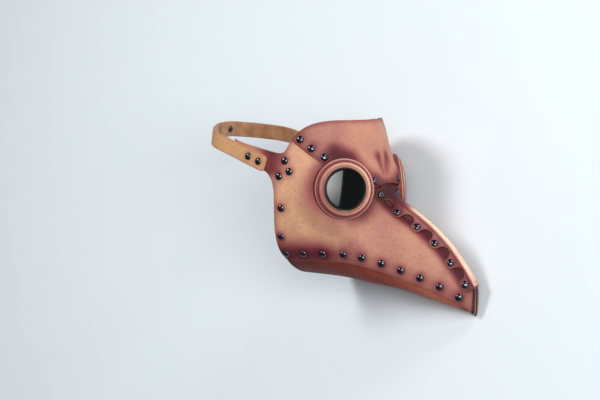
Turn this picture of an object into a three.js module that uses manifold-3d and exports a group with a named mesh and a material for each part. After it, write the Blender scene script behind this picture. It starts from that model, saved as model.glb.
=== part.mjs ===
// A leather plague doctor mask, lying on its left side, in millimetres with +Z up.
// It is modelled as it is worn: x forward along the beak, y to the wearer's left, z up,
// with x = 0 at the back edge of the cheeks and z = 0 near the eyes.
// The whole group is then turned onto the side that the loose mask lies on.
import * as THREE from "three";
import { mergeVertices } from "three/addons/utils/BufferGeometryUtils.js";
import Module from "manifold-3d";

const wasm = await Module();
wasm.setup();

// Driving dimensions of the leather and the fittings
const LEATHER = 2.2;
const LAYER_GAP = 0.9;
const LAYER_STEP = LEATHER + LAYER_GAP;
const PART_GAP = 0.3;
const EYE_CENTRE = [79.5, -53, 6];
const EYE_AZIMUTH = 41;
const PANEL_EYE_ELEVATION = 9;
const RING_TILT = 5;
const RING_RADIUS = 36;
const LENS_RADIUS = 23;
const RIM_RADIUS = 25.3;
const EYE_HOLE_RADIUS = 25.8;
const RIVET_CAP_RADIUS = 4.6;
const RIVET_CAP_HEIGHT = 2.6;
const RIVET_SIDES = 8;
const STRAP_WIDTH = 19;
const STRAP_THICKNESS = 2.2;
const STRAP_STEP = 14;

// The form: hoops from the crown or the beak's ridge, round the right side, to the keel.
// Each is a cubic Bezier curve [crown, upper handle, lower handle, keel], y without its sign.
const HOOPS = [
  [[-60, 70, 96], [-60, 84, 30], [-60, 100, -105], [-60, 0, -98]],
  [[0, 77, 96], [0, 90, 28], [0, 107, -106], [0, 0, -100]],
  [[45, 62, 97], [52, 86, 32], [32, 103, -108], [27, 0, -101]],
  [[73, 32, 98], [80, 71, 44], [56, 99, -109], [48, 0, -102]],
  [[84, -8, 94], [91, 56, 58], [73, 92, -112], [64, 0, -103]],
  [[95, 0, 62], [98, 50, 44], [87, 88, -114], [80, 0, -105]],
  [[95, 0, 5], [100, 41, -1], [103, 84, -116], [98, 0, -108]],
  [[134, 0, -16], [134, 30, -19], [138, 66, -119], [136, 0, -110.5]],
  [[189, 0, -49], [189, 19, -52], [189, 41, -136], [187, 0, -123]],
  [[232, 0, -105], [232, 1.2, -112], [232, 1.2, -130], [231, 0, -138]],
];
const LAST = HOOPS.length - 1;

// The form is flat round each eye, and the flat fades out between these radii.
const FLAT_RADIUS = 34;
const FLAT_FADE_RADIUS = 56;

const radians = THREE.MathUtils.degToRad;

function direction(azimuth, elevation) {
  return new THREE.Vector3(
    Math.cos(radians(azimuth)) * Math.cos(radians(elevation)),
    -Math.sin(radians(azimuth)) * Math.cos(radians(elevation)),
    Math.sin(radians(elevation)),
  );
}

const eyeCentre = new THREE.Vector3(...EYE_CENTRE);
const eyeNormal = direction(EYE_AZIMUTH, PANEL_EYE_ELEVATION);

// The point of the right eye's plane that lies so far inward, to the nose, and up from its middle.
function onEyePlane(inward, up) {
  const across = new THREE.Vector3(-eyeNormal.y, eyeNormal.x, 0).normalize();
  const rise = across.clone().cross(eyeNormal).negate();
  if (rise.z < 0) rise.negate();
  return eyeCentre.clone().addScaledVector(across, inward).addScaledVector(rise, up);
}

// A smooth curve that evenly spaced values pull into shape, meeting the first and the last.
function pulled(values, t) {
  const last = values.length - 1;
  const i = Math.min(Math.max(Math.floor(t), 0), last - 1);
  const f = t - i;
  const before = i > 0 ? values[i - 1] : 2 * values[0] - values[1];
  const after = i + 2 <= last ? values[i + 2] : 2 * values[last] - values[last - 1];
  return (
    (before * (1 - f) ** 3 +
      values[i] * (3 * f ** 3 - 6 * f ** 2 + 4) +
      values[i + 1] * (-3 * f ** 3 + 3 * f ** 2 + 3 * f + 1) +
      after * f ** 3) /
    6
  );
}

const smooth = (x) => {
  const c = Math.min(Math.max(x, 0), 1);
  return c * c * (3 - 2 * c);
};

function handle(k, axis, t) {
  const value = pulled(HOOPS.map((hoop) => hoop[k][axis]), t);
  return axis === 1 ? Math.max(value, 0) : value;
}

// The form's point at station t and share u of the way from crown (0) to keel (1), on the right.
function rightPoint(t, u) {
  const weights = [(1 - u) ** 3, 3 * u * (1 - u) ** 2, 3 * u * u * (1 - u), u ** 3];
  const at = [0, 1, 2].map((axis) =>
    weights.reduce((sum, w, k) => sum + w * handle(k, axis, t), 0),
  );
  const point = new THREE.Vector3(at[0], -at[1], at[2]);
  const height = point.clone().sub(eyeCentre).dot(eyeNormal);
  const flat = point.clone().addScaledVector(eyeNormal, -height);
  const spread = flat.distanceTo(eyeCentre);
  const share = 1 - smooth((spread - FLAT_RADIUS) / (FLAT_FADE_RADIUS - FLAT_RADIUS));
  return point.addScaledVector(eyeNormal, -height * share);
}

// A sheet coordinate q counts from the crown or from the keel, negative on the right side.
const crownSheet = (t, q) => mirrored(rightPoint(t, Math.abs(q)), q > 0);
const keelSheet = (t, q) => mirrored(rightPoint(t, 1 - Math.abs(q)), q > 0);

function mirrored(point, left) {
  if (left) point.y = -point.y;
  return point;
}

// The outward normal of a sheet.
function sheetNormal(sheet, t, q) {
  const small = 1e-3;
  const alongT = sheet(Math.min(t + small, LAST), q).sub(sheet(Math.max(t - small, 0), q));
  const alongQ = sheet(t, q + small).sub(sheet(t, q - small));
  const normal = alongT.cross(alongQ).normalize();
  const point = sheet(t, q);
  const axis = rightPoint(t, 0).add(rightPoint(t, 1)).multiplyScalar(0.5);
  axis.y = 0;
  return normal.dot(point.sub(axis)) < 0 ? normal.negate() : normal;
}

const onSheet = (sheet, t, q, height) =>
  sheet(t, q).addScaledVector(sheetNormal(sheet, t, q), height);

// Finds [t, u] of the right side's point at x and z in the side view.
function locate(x, z) {
  let best = [0, 0, Infinity];
  for (let t = 0; t <= LAST; t += 0.25) {
    for (let u = 0.02; u < 0.99; u += 0.04) {
      const p = rightPoint(t, u);
      const miss = Math.hypot(p.x - x, p.z - z);
      if (miss < best[2]) best = [t, u, miss];
    }
  }
  let [t, u] = best;
  const small = 1e-4;
  for (let round = 0; round < 12; round++) {
    const p = rightPoint(t, u);
    const dt = rightPoint(t + small, u).sub(p).divideScalar(small);
    const du = rightPoint(t, u + small).sub(p).divideScalar(small);
    const det = dt.x * du.z - dt.z * du.x;
    const ex = x - p.x;
    const ez = z - p.z;
    t += (ex * du.z - ez * du.x) / det;
    u += (dt.x * ez - dt.z * ex) / det;
    t = Math.min(Math.max(t, 0), LAST);
    u = Math.min(Math.max(u, 0.01), 0.99);
  }
  return [t, u];
}

const MERGE_DISTANCE = 1e-4;

const reversed = (index) => {
  const turnedOver = Array.from(index);
  for (let k = 0; k < turnedOver.length; k += 3) {
    [turnedOver[k + 1], turnedOver[k + 2]] = [turnedOver[k + 2], turnedOver[k + 1]];
  }
  return turnedOver;
};

// A closed geometry as a solid that can be joined and cut, with its faces pointing out.
function solid(geometry) {
  const bare = geometry.index ? geometry.toNonIndexed() : geometry.clone();
  bare.deleteAttribute("normal");
  bare.deleteAttribute("uv");
  const merged = mergeVertices(bare, MERGE_DISTANCE);
  const vertProperties = new Float32Array(merged.attributes.position.array);
  const made = (index) =>
    new wasm.Manifold(
      new wasm.Mesh({ numProp: 3, vertProperties, triVerts: new Uint32Array(index) }),
    );
  const first = made(merged.index.array);
  return first.volume() < 0 ? made(reversed(merged.index.array)) : first;
}

function geometryOf(manifold) {
  const mesh = manifold.getMesh();
  return new THREE.BufferGeometry()
    .setAttribute("position", new THREE.BufferAttribute(new Float32Array(mesh.vertProperties), 3))
    .setIndex(new THREE.BufferAttribute(new Uint32Array(mesh.triVerts), 1));
}

// Flat leather is cut in a bowl-shaped sheet, so that cutting keeps every vertex of its grid,
// and then laid on the form.
const SHEET_SCALE_T = 30;
const SHEET_SCALE_Q = 120;
const BOWL = 0.01;
const SHEET_HALF_HEIGHT = 4;
const GRID_T = 1 / 3;
const GRID_Q = [
  0, 0.04, 0.085, 0.135, 0.19, 0.25, 0.32, 0.4, 0.48, 0.56,
  0.62, 0.67, 0.72, 0.77, 0.82, 0.87, 0.92, 0.96, 1,
];

const bowl = (x, y) => BOWL * (x * x + y * y);

// A closed slab over a grid, from its point function (i, j, top).
function slab(countI, countJ, pointAt) {
  const positions = [];
  for (const top of [false, true]) {
    for (let i = 0; i <= countI; i++) {
      for (let j = 0; j <= countJ; j++) positions.push(...pointAt(i, j, top));
    }
  }
  const id = (i, j, top) => (top ? (countI + 1) * (countJ + 1) : 0) + i * (countJ + 1) + j;
  const index = [];
  const quad = (a, b, c, d) => index.push(a, b, c, a, c, d);
  for (let i = 0; i < countI; i++) {
    const next = i + 1;
    for (let j = 0; j < countJ; j++) {
      quad(id(i, j, true), id(next, j, true), id(next, j + 1, true), id(i, j + 1, true));
      quad(id(i, j, false), id(i, j + 1, false), id(next, j + 1, false), id(next, j, false));
    }
    quad(id(i, 0, false), id(next, 0, false), id(next, 0, true), id(i, 0, true));
    quad(id(next, countJ, false), id(i, countJ, false), id(i, countJ, true), id(next, countJ, true));
  }
  for (let j = 0; j < countJ; j++) {
    const next = j + 1;
    quad(id(0, next, false), id(0, j, false), id(0, j, true), id(0, next, true));
    quad(id(countI, j, false), id(countI, next, false), id(countI, next, true), id(countI, j, true));
  }
  return new THREE.BufferGeometry()
    .setAttribute("position", new THREE.Float32BufferAttribute(positions, 3))
    .setIndex(index);
}

// A leather piece: an outline of [t, q] points on a sheet, its underside at height(t, q).
function leatherPiece(sheet, outline, height, gridT = GRID_T) {
  const lines = [...GRID_Q.slice(1).map((q) => -q).reverse(), ...GRID_Q];
  const lowQ = Math.min(...outline.map((p) => p[1]));
  const highQ = Math.max(...outline.map((p) => p[1]));
  const q = lines.filter(
    (v, k) => (lines[k + 1] ?? Infinity) > lowQ && (lines[k - 1] ?? -Infinity) < highQ,
  );
  const lowT = Math.floor(Math.min(...outline.map((p) => p[0])) / gridT) * gridT;
  const highT = Math.max(...outline.map((p) => p[0]));
  const countT = Math.ceil((highT - lowT) / gridT);
  const blank = slab(countT, q.length - 1, (i, j, top) => {
    const x = (lowT + i * gridT) * SHEET_SCALE_T;
    const y = q[j] * SHEET_SCALE_Q;
    return [x, y, bowl(x, y) + (top ? SHEET_HALF_HEIGHT : -SHEET_HALF_HEIGHT)];
  });
  const shape = new THREE.Shape(
    outline.map(([t, v]) => new THREE.Vector2(t * SHEET_SCALE_T, v * SHEET_SCALE_Q)),
  );
  const deep = 2 * bowl(HOOPS.length * SHEET_SCALE_T, SHEET_SCALE_Q);
  const cutter = new THREE.ExtrudeGeometry(shape, { depth: 2 * deep, bevelEnabled: false });
  cutter.translate(0, 0, -deep / 2);
  const cut = geometryOf(solid(blank).intersect(solid(cutter)));
  const position = cut.attributes.position;
  for (let k = 0; k < position.count; k++) {
    const x = position.getX(k);
    const y = position.getY(k);
    const top = position.getZ(k) > bowl(x, y);
    const t = Math.min(x / SHEET_SCALE_T, LAST);
    const v = y / SHEET_SCALE_Q;
    const p = onSheet(sheet, t, v, height(t, v) + (top ? LEATHER : 0));
    position.setXYZ(k, p.x, p.y, p.z);
  }
  return solid(cut);
}

// The frame that a turned piece stands on: an origin and an axis.
function standing(origin, axis) {
  const turn = new THREE.Quaternion().setFromUnitVectors(new THREE.Vector3(0, 0, 1), axis);
  return new THREE.Matrix4().compose(origin, turn, new THREE.Vector3(1, 1, 1));
}

// A solid turned about the frame's z through [radius, height] points.
function turned(profile, sides, frame) {
  const points = profile.map(([r, h]) => new THREE.Vector2(r, h));
  return solid(new THREE.LatheGeometry(points, sides).rotateX(Math.PI / 2).applyMatrix4(frame));
}

// The layers over and under the side panels
const OUTER = LAYER_STEP;
const INNER = -LAYER_STEP;

// The centre line: the point and the station that lie the given run along it from the bridge.
const BRIDGE_T = 6;
function ridgeAt(run) {
  const step = 0.01 * Math.sign(run);
  let t = BRIDGE_T;
  let gone = 0;
  while (gone < Math.abs(run) && t < LAST) {
    gone += rightPoint(t, 0).distanceTo(rightPoint(Math.min(t + step, LAST), 0));
    t += step;
  }
  return Math.min(t, LAST);
}

// The [t, u] that lies across the centre line from the given run, square to it.
function acrossRidge(run, distance) {
  let t = ridgeAt(run);
  const foot = rightPoint(t, 0);
  const back = Math.max(t - 0.02, 0);
  const ahead = rightPoint(Math.min(back + 0.04, LAST), 0).sub(rightPoint(back, 0)).normalize();
  const miss = (station, u) => rightPoint(station, u).sub(foot).dot(ahead);
  let u = 0;
  let gone = 0;
  let here = foot;
  const step = 0.01;
  const small = 1e-3;
  while (gone < distance && u < 0.9) {
    u += step;
    for (let round = 0; round < 3; round++) {
      const slope = (miss(Math.min(t + small, LAST), u) - miss(Math.min(t, LAST - small), u)) / small;
      t = Math.min(Math.max(t - miss(t, u) / slope, 0), LAST);
    }
    const next = rightPoint(t, u);
    gone += next.distanceTo(here);
    here = next;
  }
  return [t, u];
}

// Side panels: cheek, arm and beak side in one piece, its outline in the side view.
const ARM_TOP = [[-64, 64], [-46, 58.7], [8, 48], [13, 48], [17, 51]];
const UNDER_BROW = [[23, 63], [30.5, 72], [50, 57.5], [69, 45]];
const PANEL_TOP_T = 5.6;
const SEAM_Q = 0.012;
const PANEL_EDGE = [
  [231, -136.5], [210, -123.5], [183, -110], [148, -97], [120, -88.3],
  [88, -81.5], [49, -79.7], [22, -81], [13, -81.5],
];
const CHEEK_BACK = [
  [4, -78.5], [0.8, -70], [0.3, -52], [3, -17], [3, 4], [-1, 17],
  [-9, 25.5], [-40, 34.5], [-66, 44], [-69, 47], [-69, 60],
];
const TIP_T = LAST - 0.02;

const located = (points) => points.map(([x, z]) => locate(x, z));
const edgeOutline = located(PANEL_EDGE);
const sideOutline = [
  ...located(ARM_TOP),
  ...located(UNDER_BROW),
  [PANEL_TOP_T, SEAM_Q],
  [TIP_T, SEAM_Q],
  ...edgeOutline,
  ...located(CHEEK_BACK),
];

// The underside panel overlaps the side panels by this much inside their lower edges.
const UNDERSIDE_LAP = 18;

// The share u of the side panel's lower edge at station t, and of a line so far above it.
function edgeU(t) {
  const sorted = [...edgeOutline].reverse();
  let k = sorted.findIndex((p) => p[0] > t);
  if (k < 1) k = k === 0 ? 1 : sorted.length - 1;
  const [t0, u0] = sorted[k - 1];
  const [t1, u1] = sorted[k];
  return u0 + ((u1 - u0) * (t - t0)) / (t1 - t0);
}

function aboveEdge(t, distance) {
  const step = 0.004;
  let u = edgeU(t);
  let gone = 0;
  while (gone < distance && u > 0.2) {
    gone += rightPoint(t, u).distanceTo(rightPoint(t, u - step));
    u -= step;
  }
  return [t, u];
}

// Both sides of a piece that crosses the centre line, from the points of its right side.
const bothSides = (points) => [
  ...points.map(([t, u]) => [t, -u]),
  ...[...points].reverse().filter((p) => p[1] > 1e-6).map(([t, u]) => [t, u]),
];

// The scalloped strip over the ridge's seam: lobes round the rivets and recesses between them.
const STRIP_RIVETS = 6;
const STRIP_PITCH = 30.5;
const FIRST_STRIP_RIVET = 14;
const STRIP_RIVET_OFFSET = [17.8, 9.8];
const STRIP_LOBE = 6.5;
const STRIP_RECESS = 7;
const STRIP_LOBE_SHARPNESS = 1.3;
const STRIP_START = -14;
const STRIP_END = 175;
const STRIP_STEP = STRIP_PITCH / 8;

// How far the strip's rivets sit from the ridge, less and less towards the tip.
function rivetOffset(run) {
  const share = (run - FIRST_STRIP_RIVET) / (STRIP_PITCH * (STRIP_RIVETS - 1));
  return THREE.MathUtils.lerp(STRIP_RIVET_OFFSET[0], STRIP_RIVET_OFFSET[1], Math.max(share, 0));
}

function stripHalfWidth(run) {
  const phase = (2 * Math.PI * (run - FIRST_STRIP_RIVET)) / STRIP_PITCH;
  const wave = ((1 + Math.cos(phase)) / 2) ** STRIP_LOBE_SHARPNESS;
  const atRecess = run < FIRST_STRIP_RIVET - STRIP_PITCH / 2;
  return rivetOffset(run) - STRIP_RECESS + (STRIP_LOBE + STRIP_RECESS) * (atRecess ? 0 : wave);
}

const stripEdge = [];
for (let run = STRIP_START; run < STRIP_END; run += STRIP_STEP) {
  stripEdge.push(acrossRidge(run, stripHalfWidth(run)));
}
const stripOutline = bothSides([[ridgeAt(STRIP_START), 0], ...stripEdge, [ridgeAt(STRIP_END), 0]]);

// The brow panel, over the side panels and the strip's top end.
const BROW_CORNER = [22.5, 63.5];
const BROW_EDGE_END = [61.5, 34];
const BROW_BRIDGE_RUN = 2;
const BROW_UNDER_RING = [[25, 10.5], [12, 15], [0, 19], [-12, 23]];
const BROW_TOP = [[33.5, 75], [39.5, 79.2], [47, 82.6], [54, 84.6]];
const BROW_LEVEL_T = { from: 2.65, to: 4.17, step: 0.38 };

// The share u at which the hoop t comes down to the height z.
function levelU(t, z) {
  let [above, below] = [0, 0.5];
  for (let round = 0; round < 20; round++) {
    const u = (above + below) / 2;
    if (rightPoint(t, u).z > z) above = u;
    else below = u;
  }
  return above;
}

// The brow's top edge runs level over the forehead.
const browLevel = [];
const browTopZ = rightPoint(BROW_LEVEL_T.to, 0).z;
for (let t = BROW_LEVEL_T.from; t < BROW_LEVEL_T.to; t += BROW_LEVEL_T.step) {
  browLevel.push([t, levelU(t, browTopZ)]);
}
const browOutline = bothSides([
  [ridgeAt(BROW_BRIDGE_RUN), 0],
  acrossRidge(BROW_BRIDGE_RUN + 1, 16),
  acrossRidge(BROW_BRIDGE_RUN + 2, 28),
  ...BROW_UNDER_RING.map(([inward, up]) => {
    const p = onEyePlane(inward, up);
    return locate(p.x, p.z);
  }),
  locate(...BROW_EDGE_END),
  locate(...BROW_CORNER),
  ...located(BROW_TOP),
  ...browLevel,
  [BROW_LEVEL_T.to, 0],
]);
const BRIDGE_RAISE_T = [5, 5.33];
const BRIDGE_RAISE_U = [0.11, 0.17];
const BROW_EASE = 0.4;
function browHeight(t, q) {
  const along = smooth((t - BRIDGE_RAISE_T[0]) / (BRIDGE_RAISE_T[1] - BRIDGE_RAISE_T[0]));
  const aside = (Math.abs(q) - BRIDGE_RAISE_U[0]) / (BRIDGE_RAISE_U[1] - BRIDGE_RAISE_U[0]);
  const across = 1 - smooth(aside);
  return OUTER + BROW_EASE + LAYER_STEP * along * across;
}

// The underside panel, curved under the jaw and the beak.
const UNDERSIDE_BACK = [[1.3, 0], [1.28, 0.05], [1.22, 0.14], [1.17, 0.24]];
const UNDERSIDE_FIRST_T = 1.12;
const UNDERSIDE_LAST_T = 8.75;
const UNDERSIDE_STEP_T = 0.6;
const UNDERSIDE_GRID_T = 0.6;
const undersideEdge = [];
for (let t = UNDERSIDE_FIRST_T; t < UNDERSIDE_LAST_T; t += UNDERSIDE_STEP_T) {
  undersideEdge.push([t, 1 - aboveEdge(t, UNDERSIDE_LAP)[1]]);
}
const undersideOutline = bothSides([
  ...UNDERSIDE_BACK,
  ...undersideEdge,
  [UNDERSIDE_LAST_T, 1 - edgeU(UNDERSIDE_LAST_T) + 0.1],
  [UNDERSIDE_LAST_T, 0],
]);

// Materials
const tan = new THREE.MeshStandardMaterial({ color: 0xb07a5c, roughness: 0.55, metalness: 0 });
const dark = new THREE.MeshStandardMaterial({ color: 0x5c2f26, roughness: 0.6, metalness: 0 });
const strapTan = new THREE.MeshStandardMaterial({ color: 0xc79c72, roughness: 0.6, metalness: 0 });
const gunmetal = new THREE.MeshStandardMaterial({ color: 0x2b2b30, roughness: 0.2, metalness: 1 });
const black = new THREE.MeshStandardMaterial({ color: 0x101012, roughness: 0.35, metalness: 0 });
const glass = new THREE.MeshStandardMaterial({ color: 0x0b0b0d, roughness: 0.05, metalness: 0 });

const mask = new THREE.Group();
function place(name, shape, material) {
  const mesh = new THREE.Mesh(geometryOf(shape), material);
  mesh.name = name;
  mask.add(mesh);
}

// A rivet's cap: a low dome, its flat side at the given height over the form.
const CAP_SHOULDER = [0.72, 0.66];
function cap(base) {
  return [
    [0, base + RIVET_CAP_HEIGHT],
    [RIVET_CAP_RADIUS * CAP_SHOULDER[0], base + RIVET_CAP_HEIGHT * CAP_SHOULDER[1]],
    [RIVET_CAP_RADIUS, base],
    [0, base],
  ];
}

// A cap that is part of the leather under it, sunk in by the given depth.
function fusedCap(base, depth) {
  const [top, shoulder, edge] = cap(base);
  return [top, shoulder, edge, [RIVET_CAP_RADIUS, base - depth], [0, base - depth]];
}

const outerTop = OUTER + LEATHER;
const STRIP_RIVET_EASE = 0.7;
const FIRST_BROW_RIVET = 9;
const BROW_RIVET_PITCH = 17;
const BROW_RIVET_MARGIN = 7.3;
const JAW_RIVETS = 10;
const JAW_ROW = [[8.5, -72.5], [56, -70.5], [98, -73], [144, -85.3], [190, -103], [214, -116.5]];
const jawRow = new THREE.SplineCurve(JAW_ROW.map(([x, z]) => new THREE.Vector2(x, z)));
const BRIDGE_RIVET = { run: -3, aside: 23.5 };
const CHEEK_RIVETS = [[12.5, -17], [8, -51.5]];
const rivetGroups = {
  brow_rivet: {
    top: outerTop + BROW_EASE,
    at: [0, 1, 2].map((k) => {
      const corner = new THREE.Vector2(...BROW_CORNER);
      const edge = new THREE.Vector2(...BROW_EDGE_END).sub(corner).normalize();
      const inward = new THREE.Vector2(-edge.y, edge.x);
      corner.addScaledVector(edge, FIRST_BROW_RIVET + BROW_RIVET_PITCH * k);
      corner.addScaledVector(inward, BROW_RIVET_MARGIN);
      return locate(corner.x, corner.y);
    }),
  },
  bridge_rivet: {
    top: outerTop + BROW_EASE + LAYER_STEP,
    at: [acrossRidge(BRIDGE_RIVET.run, BRIDGE_RIVET.aside)],
  },
  cheek_rivet: { top: LEATHER, at: located(CHEEK_RIVETS) },
  strip_rivet: {
    top: outerTop + STRIP_RIVET_EASE,
    at: Array.from({ length: STRIP_RIVETS }, (_, k) => {
      const run = FIRST_STRIP_RIVET + STRIP_PITCH * k;
      return acrossRidge(run, rivetOffset(run));
    }),
  },
  jaw_rivet: {
    top: LEATHER,
    at: jawRow.getSpacedPoints(JAW_RIVETS - 1).map((p) => locate(p.x, p.y)),
  },
};

// A turned profile that stands on the right side's form at station t and share u.
function onForm(profile, [t, u], sides) {
  const frame = standing(rightPoint(t, u), sheetNormal(rightPoint, t, u));
  return turned(profile, sides, frame);
}

const rightRivets = Object.entries(rivetGroups).flatMap(([name, { top, at }]) =>
  at.map((place, k) => ({
    label: at.length > 1 ? `${name}_${k + 1}` : name,
    body: onForm(cap(top + PART_GAP), place, RIVET_SIDES),
  })),
);

// The three rivets of the arm's root are part of the side panel, and two are part of each strap.
const ARM_ROOT_RIVETS = [[17, 39], [23.5, 26.5], [10, 20.5]];
const FUSE = 0.8;
const armRootRivets = located(ARM_ROOT_RIVETS).map((place) =>
  onForm(fusedCap(LEATHER, FUSE), place, RIVET_SIDES),
);

// Eyes: a leather ring, a lens rim and a lens, on the plane of the ring.
const RING_SIDES = 20;
const RING_SEAT = LEATHER + 2 * PART_GAP + RING_RADIUS * Math.tan(radians(RING_TILT));
const ringNormal = direction(EYE_AZIMUTH, PANEL_EYE_ELEVATION - RING_TILT);
const ringFrame = standing(eyeCentre.clone().addScaledVector(eyeNormal, RING_SEAT), ringNormal);
const RING_PROFILE = [
  [RING_RADIUS, 0],
  [RING_RADIUS, 2.3],
  [31, 6],
  [26.4, 8],
  [RIM_RADIUS + PART_GAP, 7.6],
  [RIM_RADIUS + PART_GAP, 5.2],
  [32.5, 0],
];
const RIM_PROFILE = [
  [RIM_RADIUS, -4],
  [RIM_RADIUS, 8.6],
  [LENS_RADIUS + PART_GAP, 8.6],
  [LENS_RADIUS + PART_GAP, 4.6],
  [21.6, 4.6],
  [21.6, -4],
];
const LENS_PROFILE = [[0, 7.8], [LENS_RADIUS, 6.9], [LENS_RADIUS, 4.9], [0, 4.9]];
const closed = (profile) => [...profile, profile[0]];
const ring = turned(closed(RING_PROFILE), RING_SIDES, ringFrame);
const rim = turned(closed(RIM_PROFILE), RING_SIDES, ringFrame);
const lens = turned(LENS_PROFILE, RING_SIDES, ringFrame);
const cutter = (radius, low, high) => [[0, low], [radius, low], [radius, high], [0, high]];
const eyeHole = turned(cutter(EYE_HOLE_RADIUS, -12, 14), RING_SIDES, standing(eyeCentre, eyeNormal));

// Straps: from the arms round the back of the head, one over the other where they meet.
const STRAP_FRONT_X = -8;
const STRAP_SLOPE = -0.337;
const STRAP_RIVET_X = [-18.7, -34.5];
const STRAP_LINE_Z = 37.1;
const STRAP_BACK = [[-92, 74, 61], [-113, 50, 66], [-124, 20, 69], [-126, 0, 70]];
const STRAP_LAP = 42;
const LAP_RISE_START = 22;
const LAP_RISE_LENGTH = 18;
const STRAP_LEAN = 0.12;
const STRAP_CORNER = 4;
const STRAP_END = [[0, 0.56], [0.3, 0.86], [1, 1]];
const HEAD_MIDDLE_X = -40;
const strapZ = (x) => STRAP_LINE_Z + (x - STRAP_RIVET_X[0]) * STRAP_SLOPE;
const STRAP_ON_ARM_X = [STRAP_FRONT_X, -20, -33, -46, -58];
const strapOnArm = STRAP_ON_ARM_X.map((x) => {
  const [t, u] = locate(x, strapZ(x));
  return onSheet(rightPoint, t, u, LEATHER + LAYER_GAP + STRAP_THICKNESS / 2);
});
const strapRight = [...strapOnArm, ...STRAP_BACK.map(([x, y, z]) => new THREE.Vector3(x, -y, z))];
const strapLeft = [...strapRight].reverse().slice(1).map((p) => new THREE.Vector3(p.x, -p.y, p.z));
const strapRoute = new THREE.CatmullRomCurve3([...strapRight, ...strapLeft], false, "centripetal");

// A strap along the route between two runs in millimetres, lifted outward by lift(run).
function strapPiece(from, to, lift) {
  const length = strapRoute.getLength();
  const runs = STRAP_END.map(([run, width]) => [from + run * STRAP_CORNER, width]);
  const steps = Math.ceil((to - from - 2 * STRAP_CORNER) / STRAP_STEP);
  for (let k = 1; k < steps; k++) {
    runs.push([from + STRAP_CORNER + ((to - from - 2 * STRAP_CORNER) * k) / steps, 1]);
  }
  runs.push(...STRAP_END.map(([run, width]) => [to - run * STRAP_CORNER, width]).reverse());
  const rows = runs.map(([run, width]) => {
    const u = run / length;
    const point = strapRoute.getPointAt(u);
    const ahead = strapRoute.getTangentAt(u);
    const out = new THREE.Vector3(ahead.y, -ahead.x, 0).normalize();
    if (out.dot(new THREE.Vector3(point.x - HEAD_MIDDLE_X, point.y, 0)) < 0) out.negate();
    out.z = STRAP_LEAN;
    out.addScaledVector(ahead, -out.dot(ahead)).normalize();
    const up = ahead.clone().cross(out).normalize();
    if (up.z < 0) up.negate();
    const half = (STRAP_WIDTH / 2) * width;
    point.addScaledVector(out, lift(run));
    return { point, out, up, half };
  });
  const pointAt = (i, j, top) => {
    const { point, out, up, half } = rows[i];
    return point
      .clone()
      .addScaledVector(up, (2 * j - 1) * half)
      .addScaledVector(out, (top ? 0.5 : -0.5) * STRAP_THICKNESS)
      .toArray();
  };
  return solid(slab(rows.length - 1, 1, pointAt));
}

const mirror = (shape) => shape.mirror([0, 1, 0]);
const cutAll = (shape, cutters) => cutters.reduce((left, cutter) => left.subtract(cutter), shape);
const strapTop = LEATHER + LAYER_GAP + STRAP_THICKNESS;
const strapRivets = STRAP_RIVET_X.map((x) =>
  onForm(fusedCap(strapTop, FUSE), locate(x, strapZ(x)), RIVET_SIDES),
);

let side = leatherPiece(rightPoint, sideOutline, () => 0).subtract(eyeHole);
for (const rivet of armRootRivets) {
  side = side.add(rivet);
}
const strip = leatherPiece(crownSheet, stripOutline, () => OUTER);
const brow = cutAll(leatherPiece(crownSheet, browOutline, browHeight), [eyeHole, mirror(eyeHole)]);
const underside = leatherPiece(keelSheet, undersideOutline, () => INNER, UNDERSIDE_GRID_T);

const routeLength = strapRoute.getLength();
const lapStart = routeLength / 2 - STRAP_LAP / 2;
const lapEnd = routeLength / 2 + STRAP_LAP / 2;
const strapLift = LAYER_GAP + STRAP_THICKNESS;
const overLap = (run) => strapLift * smooth((run - (lapStart - LAP_RISE_START)) / LAP_RISE_LENGTH);
let rightStrap = strapPiece(0, lapEnd, overLap);
let leftStrap = strapPiece(lapStart, routeLength, () => 0);
for (const rivet of strapRivets) {
  rightStrap = rightStrap.add(rivet);
  leftStrap = leftStrap.add(mirror(rivet));
}

// A stud through both straps at the back holds the lap together.
const backPoint = strapRoute.getPointAt(0.5);
const studFrame = standing(backPoint, new THREE.Vector3(-1, 0, STRAP_LEAN).normalize());
const studTop = strapLift + STRAP_THICKNESS / 2 + PART_GAP;
const studBack = -STRAP_THICKNESS / 2 - PART_GAP;
const STUD_SIDES = 10;
const STUD_HOLE_RADIUS = 2.3;
const STUD_PROFILE = [
  [0, studTop + 5.2],
  [2.6, studTop + 4.4],
  [3.2, studTop + 2.6],
  [2, studTop + 1],
  [1.8, studBack],
  [4, studBack],
  [0, studBack - 1],
];
const stud = turned(STUD_PROFILE, STUD_SIDES, studFrame);
const studHole = turned(cutter(STUD_HOLE_RADIUS, -8, 12), STUD_SIDES, studFrame);
rightStrap = rightStrap.subtract(studHole);
leftStrap = leftStrap.subtract(studHole);

place("side_panel_right", side, tan);
place("side_panel_left", mirror(side), tan);
place("beak_strip", strip, tan);
place("brow_panel", brow, tan);
place("underside_panel", underside, dark);
for (const [sideName, turnedOver] of [["right", (m) => m], ["left", mirror]]) {
  place(`eye_ring_${sideName}`, turnedOver(ring), tan);
  place(`lens_rim_${sideName}`, turnedOver(rim), black);
  place(`lens_${sideName}`, turnedOver(lens), glass);
  for (const { label, body } of rightRivets) {
    place(`${label}_${sideName}`, turnedOver(body), gunmetal);
  }
}
place("strap_right", rightStrap, strapTan);
place("strap_left", leftStrap, strapTan);
place("strap_stud", stud, gunmetal);

// The loose mask lies on its left side, on a jaw rivet, a cheek rivet and the eye ring.
const SUPPORTS = ["jaw_rivet_8_left", "cheek_rivet_2_left", "eye_ring_left"];

function farthest(name, way) {
  const position = mask.getObjectByName(name).geometry.attributes.position;
  let best = null;
  for (let k = 0; k < position.count; k++) {
    const p = new THREE.Vector3().fromBufferAttribute(position, k);
    if (!best || p.dot(way) > best.dot(way)) best = p;
  }
  return best;
}

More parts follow.
